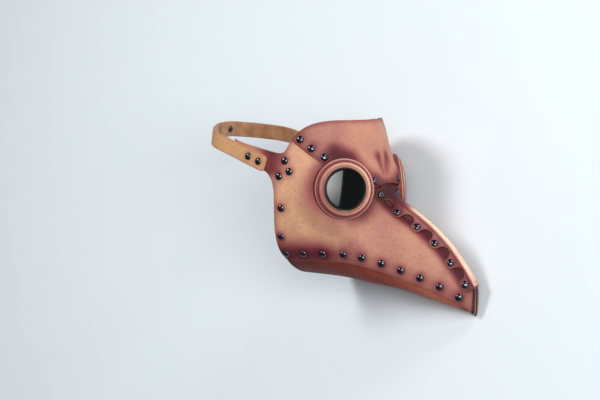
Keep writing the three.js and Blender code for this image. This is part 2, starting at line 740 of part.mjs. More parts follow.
let down = new THREE.Vector3(0, 1, 0);
for (let round = 0; round < 6; round++) {
  const [a, b, c] = SUPPORTS.map((name) => farthest(name, down));
  const normal = b.clone().sub(a).cross(c.clone().sub(a)).normalize();
  down = normal.dot(down) < 0 ? normal.negate() : normal;
}
const rowZ = down.clone().negate();
const rowX = new THREE.Vector3(1, 0, 0).addScaledVector(rowZ, -rowZ.x).normalize();
const rowY = rowZ.clone().cross(rowX);
mask.quaternion.setFromRotationMatrix(new THREE.Matrix4().makeBasis(rowX, rowY, rowZ).transpose());

// The origin is on the floor, under the middle of the whole part.
mask.updateMatrixWorld(true);
const bounds = new THREE.Box3().setFromObject(mask, true);
const middle = bounds.getCenter(new THREE.Vector3());
mask.position.set(-middle.x, -middle.y, -bounds.min.z);

const part = new THREE.Group();
part.add(mask);
export default part;
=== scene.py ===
# %% [markdown]
# # A leather plague doctor mask
# The real mask is cut from flat cowhide: two side panels, a brow panel, a scalloped strip over the
# beak's ridge and a curved underside, all held by domed rivets. Two stitched rings hold dark lenses.
# This lesson lays each piece of leather on one smooth form, as a maker bends it over a last, and then
# gives every piece the dye, grain, raw edges, thread and metal that it has in the hand.

# %% Load the frame
import math
from collections import namedtuple

import bpy
import numpy as np
from mathutils import Matrix, Vector
from mathutils.geometry import delaunay_2d_cdt
from mathutils.kdtree import KDTree


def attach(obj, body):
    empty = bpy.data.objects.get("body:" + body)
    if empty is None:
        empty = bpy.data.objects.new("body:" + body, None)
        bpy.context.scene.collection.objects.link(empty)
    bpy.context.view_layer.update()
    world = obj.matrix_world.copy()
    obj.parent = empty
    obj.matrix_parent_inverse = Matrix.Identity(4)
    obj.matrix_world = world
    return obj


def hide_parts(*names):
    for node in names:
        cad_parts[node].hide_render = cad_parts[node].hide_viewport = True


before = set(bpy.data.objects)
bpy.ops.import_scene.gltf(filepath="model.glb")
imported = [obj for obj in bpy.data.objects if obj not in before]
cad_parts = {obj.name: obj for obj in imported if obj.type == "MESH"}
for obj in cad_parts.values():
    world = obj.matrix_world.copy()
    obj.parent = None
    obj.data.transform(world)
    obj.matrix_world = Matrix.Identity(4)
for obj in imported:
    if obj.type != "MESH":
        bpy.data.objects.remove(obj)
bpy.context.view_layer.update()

# %% [markdown]
# ## The form under the leather
# A maker bends wet leather over a last. Here the last is a row of hoops, each a curve from the crown
# or the beak's ridge down the right side to the keel. Cubic curves with a few handles give a hoop its
# round, and a spline along the mask pulls the hoops into one smooth skin. All of it is in millimetres
# as the mask is worn: x forward, y to the wearer's left, z up.

# %% The hoops
HOOPS = np.array([
    [[-60, 70, 96], [-60, 84, 30], [-60, 100, -105], [-60, 0, -98]],
    [[0, 77, 96], [0, 90, 28], [0, 107, -106], [0, 0, -100]],
    [[45, 62, 97], [52, 86, 32], [32, 103, -108], [27, 0, -101]],
    [[73, 32, 98], [80, 71, 44], [56, 99, -109], [48, 0, -102]],
    [[84, -8, 94], [91, 56, 58], [73, 92, -112], [64, 0, -103]],
    [[95, 0, 62], [98, 50, 44], [87, 88, -114], [80, 0, -105]],
    [[95, 0, 5], [100, 41, -1], [103, 84, -116], [98, 0, -108]],
    [[134, 0, -16], [134, 30, -19], [138, 66, -119], [136, 0, -110.5]],
    [[189, 0, -49], [189, 19, -52], [189, 41, -136], [187, 0, -123]],
    [[232, 0, -105], [232, 1.2, -112], [232, 1.2, -130], [231, 0, -138]],
], dtype=float)
LAST = len(HOOPS) - 1
EYE_CENTRE = np.array([79.5, -53.0, 6.0])
EYE_AZIMUTH = 41
PANEL_EYE_ELEVATION = 9
RING_TILT = 5
FLAT_RADIUS = 34
FLAT_FADE_RADIUS = 56
MIRROR = np.array([1.0, -1.0, 1.0])
SIDES = (("right", False), ("left", True))
TINY = 1e-6


def direction(azimuth, elevation):
    """A unit vector, from degrees round to the wearer's right and degrees above the level."""
    a, e = math.radians(azimuth), math.radians(elevation)
    return np.array([math.cos(a) * math.cos(e), -math.sin(a) * math.cos(e), math.sin(e)])


def unit(vectors):
    """The same directions, each one long."""
    return vectors / np.maximum(np.linalg.norm(vectors, axis=-1, keepdims=True), 1e-12)


def smooth(x):
    """0 below 0, 1 above 1 and a soft slope between them."""
    c = np.clip(x, 0, 1)
    return c * c * (3 - 2 * c)


def pulled(t):
    """The four handles at station t: a spline that evenly spaced hoops pull into shape."""
    i = np.clip(np.floor(t).astype(int), 0, LAST - 1)
    f = (t - i)[:, None, None]
    ends = np.concatenate([2 * HOOPS[:1] - HOOPS[1:2], HOOPS, 2 * HOOPS[-1:] - HOOPS[-2:-1]])
    mix = (ends[i] * (1 - f) ** 3 + ends[i + 1] * (3 * f**3 - 6 * f**2 + 4)
           + ends[i + 2] * (-3 * f**3 + 3 * f**2 + 3 * f + 1) + ends[i + 3] * f**3) / 6
    mix[..., 1] = np.maximum(mix[..., 1], 0)
    return mix


eye_normal = direction(EYE_AZIMUTH, PANEL_EYE_ELEVATION)


def right_point(t, u):
    """Points of the right side at station t and share u of the way from crown to keel."""
    t, u = np.broadcast_arrays(np.atleast_1d(np.asarray(t, float)), np.asarray(u, float))
    weights = np.stack([(1 - u) ** 3, 3 * u * (1 - u) ** 2, 3 * u * u * (1 - u), u**3], axis=1)
    at = np.einsum("nk,nkc->nc", weights, pulled(t)) * MIRROR
    height = (at - EYE_CENTRE) @ eye_normal
    spread = np.linalg.norm(at - height[:, None] * eye_normal - EYE_CENTRE, axis=1)
    share = 1 - smooth((spread - FLAT_RADIUS) / (FLAT_FADE_RADIUS - FLAT_RADIUS))
    return at - (height * share)[:, None] * eye_normal


print("beak tip of the form:", right_point([LAST], 0.5).round(1))

# %% [markdown]
# ## Flat patterns
# Leather is cut flat, so each sheet of the form gets a flat pattern: its stations unrolled to their
# length along the mask, and the way down each hoop unrolled to its length in millimetres. Triangles
# made on that pattern keep an even size once they are laid on the form.

# %% Sheets and their flat patterns
STATIONS = np.linspace(0, LAST, 181)
SHARES = np.linspace(0, 1, 101)
SHEET_STEP = np.array([0.02, 0.012])
NEWTON_ROUNDS = 12
grid = right_point(np.repeat(STATIONS, len(SHARES)), np.tile(SHARES, len(STATIONS)))
grid = grid.reshape(len(STATIONS), len(SHARES), 3)
steps_down = np.linalg.norm(np.diff(grid, axis=1), axis=2)
DOWN = np.concatenate([np.zeros((len(STATIONS), 1)), np.cumsum(steps_down, axis=1)], axis=1)
UNDO = np.array([np.interp(SHARES * row[-1], row, SHARES) for row in DOWN])


def looked_up(table, t, u):
    """A value between the rows and columns of a table over STATIONS and SHARES."""
    x = np.clip(np.asarray(t, float) / LAST, 0, 1) * (len(STATIONS) - 1)
    y = np.clip(u, 0, 1) * (len(SHARES) - 1)
    i = np.minimum(x.astype(int), len(STATIONS) - 2)
    j = np.minimum(y.astype(int), len(SHARES) - 2)
    fx, fy = x - i, y - j
    low = table[i, j] * (1 - fy) + table[i, j + 1] * fy
    high = table[i + 1, j] * (1 - fy) + table[i + 1, j + 1] * fy
    return low * (1 - fx) + high * fx


Sheet = namedtuple("Sheet", "point to_flat from_flat step middle")


def form_sheet(from_keel, measured_at=0.5):
    """The whole form as one sheet of (t, q), q counted from crown or keel, negative on the right."""
    row = grid[:, round(measured_at * (len(SHARES) - 1))]
    along = np.concatenate([[0], np.cumsum(np.linalg.norm(np.diff(row, axis=0), axis=1))])

    def share(q):
        return 1 - np.abs(q) if from_keel else np.abs(q)

    def point(ab):
        right = right_point(ab[:, 0], share(ab[:, 1]))
        return np.where(ab[:, 1:] > 0, right * MIRROR, right)

    def to_flat(ab):
        run = looked_up(DOWN, ab[:, 0], share(ab[:, 1]))
        if from_keel:
            run = looked_up(DOWN, ab[:, 0], 1.0) - run
        return np.stack([np.interp(ab[:, 0], STATIONS, along), np.sign(ab[:, 1]) * run], axis=1)

    def from_flat(xy):
        t = np.interp(xy[:, 0], along, STATIONS)
        whole = looked_up(DOWN, t, 1.0)
        run = np.abs(xy[:, 1]) / whole
        q = looked_up(UNDO, t, 1 - run if from_keel else run)
        return np.stack([t, np.sign(xy[:, 1]) * (1 - q if from_keel else q)], axis=1)

    def middle(ab):
        return (right_point(ab[:, 0], 0) + right_point(ab[:, 0], 1)) * [0.5, 0, 0.5]

    return Sheet(point, to_flat, from_flat, SHEET_STEP, middle)


crown_sheet = form_sheet(from_keel=False)
keel_sheet = form_sheet(from_keel=True)


def surface_at(sheet, ab):
    """Points, the two directions of the sheet, and the outward normals."""
    da, db = np.array([sheet.step[0], 0]), np.array([0, sheet.step[1]])
    along = (sheet.point(ab + da) - sheet.point(ab - da)) / (2 * sheet.step[0])
    across = (sheet.point(ab + db) - sheet.point(ab - db)) / (2 * sheet.step[1])
    return sheet.point(ab), along, across, unit(np.cross(along, across))


probe = surface_at(crown_sheet, np.array([[7.0, -0.4]]))[3][0]
print("side of the beak faces", probe.round(2), "and should face the wearer's right, -y")


def on_right(tu):
    """Crown sheet places from [t, u] of the right side."""
    return np.asarray(tu) * [1, -1]


def outward(sheet, ab, normals):
    """Turns normals away from the inside of the mask."""
    way = np.einsum("nc,nc->n", normals, sheet.point(ab) - sheet.middle(ab))
    return normals * np.where(np.sum(way) < 0, -1.0, 1.0)


def located(points):
    """[t, u] of the right side's points that the side view shows at x and z."""
    points = np.asarray(points, float)
    t, u = np.meshgrid(np.arange(0, LAST + 0.1, 0.25), np.arange(0.02, 0.99, 0.04), indexing="ij")
    known = right_point(t.ravel(), u.ravel())[:, [0, 2]]
    closest = np.argmin(np.linalg.norm(known[None] - points[:, None], axis=2), axis=1)
    t, u = t.ravel()[closest], u.ravel()[closest]
    small = 1e-4
    for _ in range(NEWTON_ROUNDS):
        here = right_point(t, u)
        along = (right_point(t + small, u) - here) / small
        down = (right_point(t, u + small) - here) / small
        det = along[:, 0] * down[:, 2] - along[:, 2] * down[:, 0]
        ex, ez = points[:, 0] - here[:, 0], points[:, 1] - here[:, 2]
        t = np.clip(t + (ex * down[:, 2] - ez * down[:, 0]) / det, 0, LAST)
        u = np.clip(u + (along[:, 0] * ez - along[:, 2] * ex) / det, 0.01, 0.99)
    return np.stack([t, u], axis=1)


# %% [markdown]
# ## Where the rivets sit
# The rivets tell how the pieces are joined, so their places come before the leather. Rows along an
# edge are spaced evenly, as a maker pricks them with dividers. The strip's rivets are measured along
# the ridge from the bridge of the nose, and square across it. A curve through a few points, a spline,
# gives the long row along the jaw.

# %% Measures of the leather and the rivet rows
LEATHER = 2.2
PART_GAP = 0.3
RIVET_RADIUS = 4.6
BRIDGE_T = 6
STRIP_RIVETS = 6
STRIP_PITCH = 30.5
FIRST_STRIP_RIVET = 14
STRIP_RIVET_OFFSET = (17.8, 9.8)
BROW_CORNER = np.array([22.5, 63.5])
BROW_EDGE_END = np.array([61.5, 34.0])
BROW_RIVETS = (9, 26, 43)
BROW_RIVET_MARGIN = 7.3
CHEEK_RIVETS = [(12.5, -17), (8, -51.5)]
ARM_ROOT_RIVETS = [(17, 39), (23.5, 26.5), (10, 20.5)]
JAW_ROW = [(8.5, -72.5), (56, -70.5), (98, -73), (144, -85.3), (190, -103), (214, -116.5)]
JAW_RIVETS = 10
BRIDGE_RIVET = (-3, 23.5)

WALK_STEP = 0.005
AHEAD_STEP = 0.02
SLOPE_STEP = 1e-3
SPLINE_SAMPLES = 60

ridge_t = np.linspace(4, LAST, 1001)
ridge_steps = np.linalg.norm(np.diff(right_point(ridge_t, 0), axis=0), axis=1)
ridge_run = np.concatenate([[0], np.cumsum(ridge_steps)])
ridge_run -= np.interp(BRIDGE_T, ridge_t, ridge_run)


def across_ridge(run, distance):
    """[t, u] that lies across the ridge from the given run along it, square to it."""
    run, distance = np.broadcast_arrays(np.atleast_1d(np.asarray(run, float)), distance)
    t = np.interp(run, ridge_run, ridge_t)
    here = right_point(t, 0)
    foot = here
    back = np.maximum(t - AHEAD_STEP, 0)
    ahead = unit(right_point(np.minimum(back + 2 * AHEAD_STEP, LAST), 0) - right_point(back, 0))
    u = np.zeros_like(t)
    left = distance.astype(float).copy()
    while left.max() > TINY and u.max() < 0.9:
        new_u, new_t = u + WALK_STEP, t
        for _ in range(3):
            low = np.minimum(new_t, LAST - SLOPE_STEP)
            miss = np.einsum("nc,nc->n", right_point(low, new_u) - foot, ahead)
            further = np.einsum("nc,nc->n", right_point(low + SLOPE_STEP, new_u) - foot, ahead)
            new_t = np.clip(low - miss * SLOPE_STEP / (further - miss), 0, LAST)
        there = right_point(new_t, new_u)
        length = np.linalg.norm(there - here, axis=1)
        share = np.clip(left / length, 0, 1)
        t, u = t + (new_t - t) * share, u + (new_u - u) * share
        here = here + (there - here) * share[:, None]
        left = np.maximum(left - length, 0)
    return np.stack([t, u], axis=1)


def rivet_offset(run):
    """How far the strip's rivets sit from the ridge, less and less towards the tip."""
    share = (run - FIRST_STRIP_RIVET) / (STRIP_PITCH * (STRIP_RIVETS - 1))
    return STRIP_RIVET_OFFSET[0] + (STRIP_RIVET_OFFSET[1] - STRIP_RIVET_OFFSET[0]) * np.maximum(share, 0)


def evenly(dense, count):
    """Points along a line of many points, all the same distance apart."""
    run = np.concatenate([[0], np.cumsum(np.linalg.norm(np.diff(dense, axis=0), axis=1))])
    at = np.linspace(0, run[-1], count)
    return np.stack([np.interp(at, run, dense[:, k]) for k in range(dense.shape[1])], axis=1)


def spline(points, count, tension=0.5):
    """A smooth curve through the points, as a row of evenly spread samples."""
    points = np.asarray(points, float)
    points = np.concatenate([2 * points[:1] - points[1:2], points, 2 * points[-1:] - points[-2:-1]])
    gaps = np.maximum(np.linalg.norm(np.diff(points, axis=0), axis=1) ** tension, TINY)
    samples = []
    for k in range(1, len(points) - 2):
        p0, p1, p2, p3 = points[k - 1:k + 3]
        d0, d1, d2 = gaps[k - 1:k + 2]
        m1 = ((p1 - p0) / d0 - (p2 - p0) / (d0 + d1) + (p2 - p1) / d1) * d1
        m2 = ((p2 - p1) / d1 - (p3 - p1) / (d1 + d2) + (p3 - p2) / d2) * d1
        s = np.linspace(0, 1, SPLINE_SAMPLES, endpoint=False)[:, None]
        samples.append(p1 + m1 * s + (3 * (p2 - p1) - 2 * m1 - m2) * s**2
                       + (2 * (p1 - p2) + m1 + m2) * s**3)
    dense = np.concatenate([*samples, points[-2:-1]])
    return evenly(dense, count)


brow_along = unit(BROW_EDGE_END - BROW_CORNER)
brow_inward = np.array([-brow_along[1], brow_along[0]])
strip_runs = FIRST_STRIP_RIVET + STRIP_PITCH * np.arange(STRIP_RIVETS)
RIVET_PLACES = {
    "brow_rivet": located([BROW_CORNER + brow_along * run + brow_inward * BROW_RIVET_MARGIN
                           for run in BROW_RIVETS]),
    "bridge_rivet": across_ridge(*BRIDGE_RIVET),
    "cheek_rivet": located(CHEEK_RIVETS),
    "strip_rivet": across_ridge(strip_runs, rivet_offset(strip_runs)),
    "jaw_rivet": located(spline(JAW_ROW, JAW_RIVETS)),
}
print("rivets on each side:", sum(len(places) for places in RIVET_PLACES.values()))

# %% [markdown]
# ## How the mask lies
# A loose mask with a long beak can't stand, so the frame holds it lying on its left side. Where the
# rivets are on the worn form is known, and the frame says where they are on the lying mask, so the
# turn between the two is found from them. The best turn of one set of points onto another comes from
# the singular values of their products. Every piece is then laid with it.

# %% The turn from the worn form to the lying mask
CAP_MIDDLE = 0.907


def node_middle(name):
    """The middle of a node's own corner points, in millimetres."""
    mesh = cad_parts[name].data
    flat = np.empty(len(mesh.vertices) * 3)
    mesh.vertices.foreach_get("co", flat)
    return np.unique(flat.reshape(-1, 3).round(6), axis=0).mean(axis=0) * 1000


worn, lying = [], []
for label in ("cheek_rivet", "jaw_rivet"):
    tq = on_right(RIVET_PLACES[label])
    feet, _, _, normals = surface_at(crown_sheet, tq)
    caps = feet + outward(crown_sheet, tq, normals) * (LEATHER + PART_GAP + CAP_MIDDLE)
    for k, cap in enumerate(caps, start=1):
        for side, over in SIDES:
            worn.append(cap * MIRROR if over else cap)
            lying.append(node_middle(f"{label}_{k}_{side}"))
worn, lying = np.array(worn), np.array(lying)
u_turn, _, v_turn = np.linalg.svd((worn - worn.mean(0)).T @ (lying - lying.mean(0)))
handed = np.diag([1, 1, np.sign(np.linalg.det(u_turn @ v_turn))])
TURN = (u_turn @ handed @ v_turn).T
SHIFT = lying.mean(0) - TURN @ worn.mean(0)


def laid(points):
    """Points of the worn form, in millimetres, as places of the lying mask, in metres."""
    return (np.asarray(points) @ TURN.T + SHIFT) / 1000


misfit = np.linalg.norm(laid(worn) * 1000 - lying, axis=1).max()
print("rivets of the form miss the frame's by at most", round(float(misfit), 3), "mm")

# %% [markdown]
# ## The camera
# The mask is seen from its right and a little from the front, through a long lens, so that the beak
# hardly narrows. The view is set by two angles round the worn mask and turned with it, so it looks
# down on the lying mask and still shows it upright.

# %% The camera
VIEW_AZIMUTH = 55
VIEW_ELEVATION = 4.6
VIEW_DISTANCE = 2500
MM_PER_PIXEL = 1.22
PICTURE = (600, 400)
AIM_PIXEL = (312.5, 189)
SENSOR = 36
CLIP_END = 20

back = direction(VIEW_AZIMUTH, VIEW_ELEVATION)
right = np.array([math.sin(math.radians(VIEW_AZIMUTH)), math.cos(math.radians(VIEW_AZIMUTH)), 0])
up = np.cross(back, right)
aim = (right * (PICTURE[0] / 2 - AIM_PIXEL[0]) - up * (PICTURE[1] / 2 - AIM_PIXEL[1])) * MM_PER_PIXEL
camera = bpy.data.objects.new("camera", bpy.data.cameras.new("camera"))
bpy.context.collection.objects.link(camera)
camera.data.sensor_width = SENSOR
camera.data.lens = SENSOR * VIEW_DISTANCE / (MM_PER_PIXEL * PICTURE[0])
camera.data.clip_end = CLIP_END
axes = TURN @ np.stack([right, up, back], axis=1)
camera.matrix_world = Matrix.Translation(laid(aim + back * VIEW_DISTANCE)) @ Matrix(axes).to_4x4()
bpy.context.scene.camera = camera
tilt = math.degrees(math.asin(axes[2, 2]))
print("camera looks down at", round(tilt, 1), "degrees, lens", round(camera.data.lens, 1), "mm")

# %% [markdown]
# ## Materials
# Vegetable-tanned cowhide is pale when it is cut. Dye is rubbed in by hand, so it is uneven: thin on
# the cheeks, rosy along the beak, and dark burgundy where the cloth gathers it, at edges and round
# rivets. Painted shade darkens the strip's hollows, the brow's furrows, the crease at the welt's foot,
# the leather round the raised rings, one side of each ring and the front of the brow, and a painted
# highlight lightens the top of the welt. The pieces carry these places as numbers on their points, an
# edge, a rose and a stain number, the last two also holding the painted light, and one material reads
# them, so that every piece is dyed and shaded by the same hand.

# %% Small tools for materials
MM = 0.001


def linear(code):
    """An sRGB hex colour as the linear colour that shaders work in."""
    parts = [int(code[k:k + 2], 16) / 255 for k in (1, 3, 5)]
    return (*[p / 12.92 if p < 0.04045 else ((p + 0.055) / 1.055) ** 2.4 for p in parts], 1)


def add(tree, kind, inputs=None, **settings):
    """Adds a node with its settings. Each input is a value, or the socket that it comes from."""
    node = tree.nodes.new(kind)
    for key, value in settings.items():
        setattr(node, key, value)
    for key, value in (inputs or {}).items():
        if isinstance(value, bpy.types.NodeSocket):
            tree.links.new(value, node.inputs[key])
        else:
            node.inputs[key].default_value = value
    return node


def material(name):
    """A new material's node tree and its shader."""
    made = bpy.data.materials.new(name)
    made.use_nodes = True
    shader = made.node_tree.nodes["Principled BSDF"]
    return made, made.node_tree, shader


def pattern_scale(size):
    """The scale that gives a texture features of this size in millimetres."""
    return 1 / (size * MM)


# %% [markdown]
# ### Dyed cowhide
# Vegetable-tanned leather with a waxed surface: its grain scatters light softly and the wax leaves a
# dull sheen, so it is rough and not metallic, with the usual IOR of 1.5. Its grain is a net of small
# cells about a millimetre wide, with finer pores in it and slow creases where it was bent. A cut edge
# is the pale fibre under the dye. Dye works as a filter: it takes away green and blue before red, so a
# little of it makes tan leather rosy and much of it burgundy. Each colour is therefore let through by
# a power of the stain, since a plain mix with a dark colour would only turn the leather grey. One
# function makes all five batches of dyed hide: tan, a paler one for the strip on the ridge, whose pale
# shows on the welt as a painted highlight, a paler one for the rings, dark for the underside, and the
# plainer tan of the straps.

# %% Dyed cowhide
BLOTCH_SIZE = 24
MOTTLE_SIZE = 3.5
CREASE_SIZE = 9
GRAIN_SIZE = 1.1
PORE_SIZE = 0.5
GRAIN_DEPTH = 0.3
WAXED_SPECULAR = 0.22
WORN_SPREAD = (-0.07, 0.1)


def dyed_leather(name, pale, ruddy, dark, fibre, roughness):
    """Waxed cowhide whose dye goes from pale to ruddy with rose, and to dark with stain."""
    made, tree, shader = material(name)
    place = add(tree, "ShaderNodeTexCoord").outputs["Object"]
    edge = add(tree, "ShaderNodeAttribute", attribute_name="edge").outputs["Fac"]
    # Rose and stain also carry painted shade and a painted highlight, laid on by the pieces.
    rose = add(tree, "ShaderNodeAttribute", attribute_name="rose").outputs["Fac"]
    stain = add(tree, "ShaderNodeAttribute", attribute_name="stain").outputs["Fac"]
    blotch = add(tree, "ShaderNodeTexNoise",
                 {"Vector": place, "Scale": pattern_scale(BLOTCH_SIZE), "Detail": 3}).outputs["Fac"]
    mottle = add(tree, "ShaderNodeTexNoise",
                 {"Vector": place, "Scale": pattern_scale(MOTTLE_SIZE), "Detail": 4}).outputs["Fac"]
    crease = add(tree, "ShaderNodeTexNoise",
                 {"Vector": place, "Scale": pattern_scale(CREASE_SIZE), "Detail": 5,
                  "Roughness": 0.6, "Distortion": 0.8}).outputs["Fac"]
    cells = add(tree, "ShaderNodeTexVoronoi",
                {"Vector": place, "Scale": pattern_scale(GRAIN_SIZE)}).outputs["Distance"]
    pores = add(tree, "ShaderNodeTexNoise",
                {"Vector": place, "Scale": pattern_scale(PORE_SIZE), "Detail": 2}).outputs["Fac"]
    uneven = add(tree, "ShaderNodeMath", {0: blotch, 1: 0.9, 2: -0.45}, operation="MULTIPLY_ADD")
    ruddiness = add(tree, "ShaderNodeMath", {0: rose, 1: uneven.outputs[0]}, operation="ADD",
                    use_clamp=True)
    dye = add(tree, "ShaderNodeMix", {0: ruddiness.outputs[0], 6: linear(pale), 7: linear(ruddy)},
              data_type="RGBA")
    patchy = add(tree, "ShaderNodeMath", {0: mottle, 1: 0.5, 2: 0.75}, operation="MULTIPLY_ADD")
    soaked = add(tree, "ShaderNodeMath", {0: stain, 1: patchy.outputs[0]}, operation="MULTIPLY",
                 use_clamp=True)
    passed = add(tree, "ShaderNodeCombineColor")
    for k, (full, none) in enumerate(zip(linear(dark)[:3], linear(pale))):
        through = add(tree, "ShaderNodeMath", {0: full / none, 1: soaked.outputs[0]}, operation="POWER")
        tree.links.new(through.outputs[0], passed.inputs[k])
    dyed = add(tree, "ShaderNodeVectorMath", {0: dye.outputs[2], 1: passed.outputs[0]},
               operation="MULTIPLY")
    shade = add(tree, "ShaderNodeMapRange", {0: mottle, 1: 0.25, 2: 0.75, 3: 0.84, 4: 1.12})
    pitted = add(tree, "ShaderNodeMapRange", {0: cells, 1: 0.0, 2: 0.5, 3: 0.86, 4: 1.04})
    both = add(tree, "ShaderNodeMath", {0: shade.outputs[0], 1: pitted.outputs[0]},
               operation="MULTIPLY")
    toned = add(tree, "ShaderNodeVectorMath", {0: dyed.outputs[0], 1: both.outputs[0]},
                operation="MULTIPLY")
    frayed = add(tree, "ShaderNodeMath", {0: mottle, 1: 0.7, 2: edge}, operation="MULTIPLY_ADD")
    raw = add(tree, "ShaderNodeMapRange", {0: frayed.outputs[0], 1: 0.6, 2: 1.05, 3: 0.8, 4: 0.0},
              interpolation_type="SMOOTHSTEP")
    undyed = add(tree, "ShaderNodeMath", {0: stain, 1: -0.6, 2: 1.0}, operation="MULTIPLY_ADD",
                 use_clamp=True)
    bare = add(tree, "ShaderNodeMath", {0: raw.outputs[0], 1: undyed.outputs[0]}, operation="MULTIPLY")
    colour = add(tree, "ShaderNodeMix", {0: bare.outputs[0], 6: toned.outputs[0], 7: linear(fibre)},
                 data_type="RGBA")
    worn = add(tree, "ShaderNodeMapRange", {0: mottle, 1: 0.3, 2: 0.7, 3: roughness + WORN_SPREAD[0],
                                            4: roughness + WORN_SPREAD[1]})
    fine = add(tree, "ShaderNodeMath", {0: cells, 1: 0.55, 2: pores}, operation="MULTIPLY_ADD")
    height = add(tree, "ShaderNodeMath", {0: crease, 1: 1.6, 2: fine.outputs[0]},
                 operation="MULTIPLY_ADD")
    bump = add(tree, "ShaderNodeBump", {"Strength": 0.8, "Distance": GRAIN_DEPTH * MM,
                                        "Height": height.outputs[0]})
    tree.links.new(colour.outputs[2], shader.inputs["Base Color"])
    tree.links.new(worn.outputs[0], shader.inputs["Roughness"])
    tree.links.new(bump.outputs[0], shader.inputs["Normal"])
    shader.inputs["Specular IOR Level"].default_value = WAXED_SPECULAR
    return made


tan_cowhide = dyed_leather("dyed_cowhide_tan", "#dfb188", "#b27d6c", "#3e0a13", "#a87a4a", 0.48)
ridge_cowhide_with_highlight = dyed_leather("dyed_cowhide_ridge_highlight", "#f2d2b4", "#b98372", "#3e0a13", "#a87a4a", 0.46)
dark_cowhide = dyed_leather("dyed_cowhide_dark", "#a8604a", "#7e3127", "#3a1214", "#9d5c44", 0.6)
ring_cowhide = dyed_leather("dyed_cowhide_ring", "#f2c39c", "#bf8674", "#3e0a13", "#a87a4a", 0.46)
strap_cowhide = dyed_leather("dyed_cowhide_strap", "#cb9a6e", "#c08a64", "#7d4838", "#b98452", 0.5)
print("batches of dyed hide:", sum(made.name.startswith("dyed") for made in bpy.data.materials))

# %% [markdown]
# ### The flesh side
# The inside of the hide isn't dyed or waxed. It is split fibre, a dull fuzzy nap like suede, so it is
# very rough, with a little sheen at grazing angles, and its pattern is short fibres about half a
# millimetre wide.

# %% Flesh side
CLOUD_SIZE = 14
NAP_SIZE = 0.6
NAP_DEPTH = 0.25
NAP_SHEEN = 0.25


def flesh_side(name, pale, deep):
    """Split fibre in two near tones, with a nap of short fibres."""
    made, tree, shader = material(name)
    place = add(tree, "ShaderNodeTexCoord").outputs["Object"]
    cloud = add(tree, "ShaderNodeTexNoise",
                {"Vector": place, "Scale": pattern_scale(CLOUD_SIZE), "Detail": 5}).outputs["Fac"]
    nap = add(tree, "ShaderNodeTexNoise",
              {"Vector": place, "Scale": pattern_scale(NAP_SIZE), "Detail": 6,
               "Distortion": 1.5}).outputs["Fac"]
    both = add(tree, "ShaderNodeMath", {0: nap, 1: 0.5, 2: cloud}, operation="MULTIPLY_ADD")
    share = add(tree, "ShaderNodeMapRange", {0: both.outputs[0], 1: 0.55, 2: 0.95})
    colour = add(tree, "ShaderNodeMix", {0: share.outputs[0], 6: linear(deep), 7: linear(pale)},
                 data_type="RGBA")
    bump = add(tree, "ShaderNodeBump", {"Strength": 0.6, "Distance": NAP_DEPTH * MM, "Height": nap})
    tree.links.new(colour.outputs[2], shader.inputs["Base Color"])
    tree.links.new(bump.outputs[0], shader.inputs["Normal"])
    shader.inputs["Roughness"].default_value = 0.95
    shader.inputs["Specular IOR Level"].default_value = 0.2
    shader.inputs["Sheen Weight"].default_value = NAP_SHEEN
    return made


split_fibre = flesh_side("split_fibre", "#b98a66", "#8e6145")
dark_fibre = flesh_side("split_fibre_dark", "#94614a", "#6b4132")
print("nap as wide as", NAP_SIZE, "mm")

# %% [markdown]
# ### Metal, thread, tube and lens
# The caps are steel plated with black nickel, a dark metal that is bright only where it mirrors a
# lamp. The tube is turned black acetal, a plastic with a satin surface. The lens is smoked
# acrylic, so dark that all one sees is what it reflects, and its IOR is acrylic's 1.49. The threads
# are waxed polyester. All are hard and even, so one function makes them from a colour, a roughness
# and a grit in millimetres. The lens's grit is far too fine to show, so it is drawn 6 mm wide and
# all but flat.

# %% Metal, thread, tube and lens
def hard_finish(name, colour, speck, metallic, low, high, grit, depth, special=None):
    """A hard surface: its colour in two near tones, its roughness between low and high."""
    made, tree, shader = material(name)
    place = add(tree, "ShaderNodeTexCoord").outputs["Object"]
    grain = add(tree, "ShaderNodeTexNoise",
                {"Vector": place, "Scale": pattern_scale(grit), "Detail": 4}).outputs["Fac"]
    tone = add(tree, "ShaderNodeMix", {0: grain, 6: linear(colour), 7: linear(speck)}, data_type="RGBA")
    gloss = add(tree, "ShaderNodeMapRange", {0: grain, 1: 0.3, 2: 0.7, 3: low, 4: high})
    bump = add(tree, "ShaderNodeBump", {"Strength": 0.3, "Distance": depth * MM, "Height": grain})
    tree.links.new(tone.outputs[2], shader.inputs["Base Color"])
    tree.links.new(gloss.outputs[0], shader.inputs["Roughness"])
    tree.links.new(bump.outputs[0], shader.inputs["Normal"])
    for socket, value in {"Metallic": metallic, **(special or {})}.items():
        shader.inputs[socket].default_value = value
    return made


black_nickel = hard_finish("black_nickel", "#4c4c54", "#585860", 1.0, 0.05, 0.12, 1.5, 0.01)
black_acetal = hard_finish("black_acetal", "#0c0c0e", "#151517", 0.0, 0.28, 0.4, 0.8, 0.02,
                           {"Specular IOR Level": 0.2})
smoked_lens = hard_finish("smoked_acrylic", "#050506", "#08080a", 0.0, 0.03, 0.05, 6, 0.001,
                          {"IOR": 1.49})
pale_thread = hard_finish("waxed_thread_pale", "#e0bd9a", "#c99f7c", 0.0, 0.5, 0.65, 0.3, 0.05)
rosy_thread = hard_finish("waxed_thread_rosy", "#b0776a", "#94594f", 0.0, 0.5, 0.65, 0.3, 0.05)
black_thread = hard_finish("waxed_thread_black", "#170c11", "#2b171d", 0.0, 0.4, 0.6, 0.3, 0.05)
# Dark painted shade for the holes between stitches, on small capsules sunk into them.
painted_hole_shade = hard_finish("painted_hole_shade", "#2c1216", "#3a191d", 0.0, 0.8, 0.9, 0.3, 0.02)
print("materials so far:", len(bpy.data.materials))

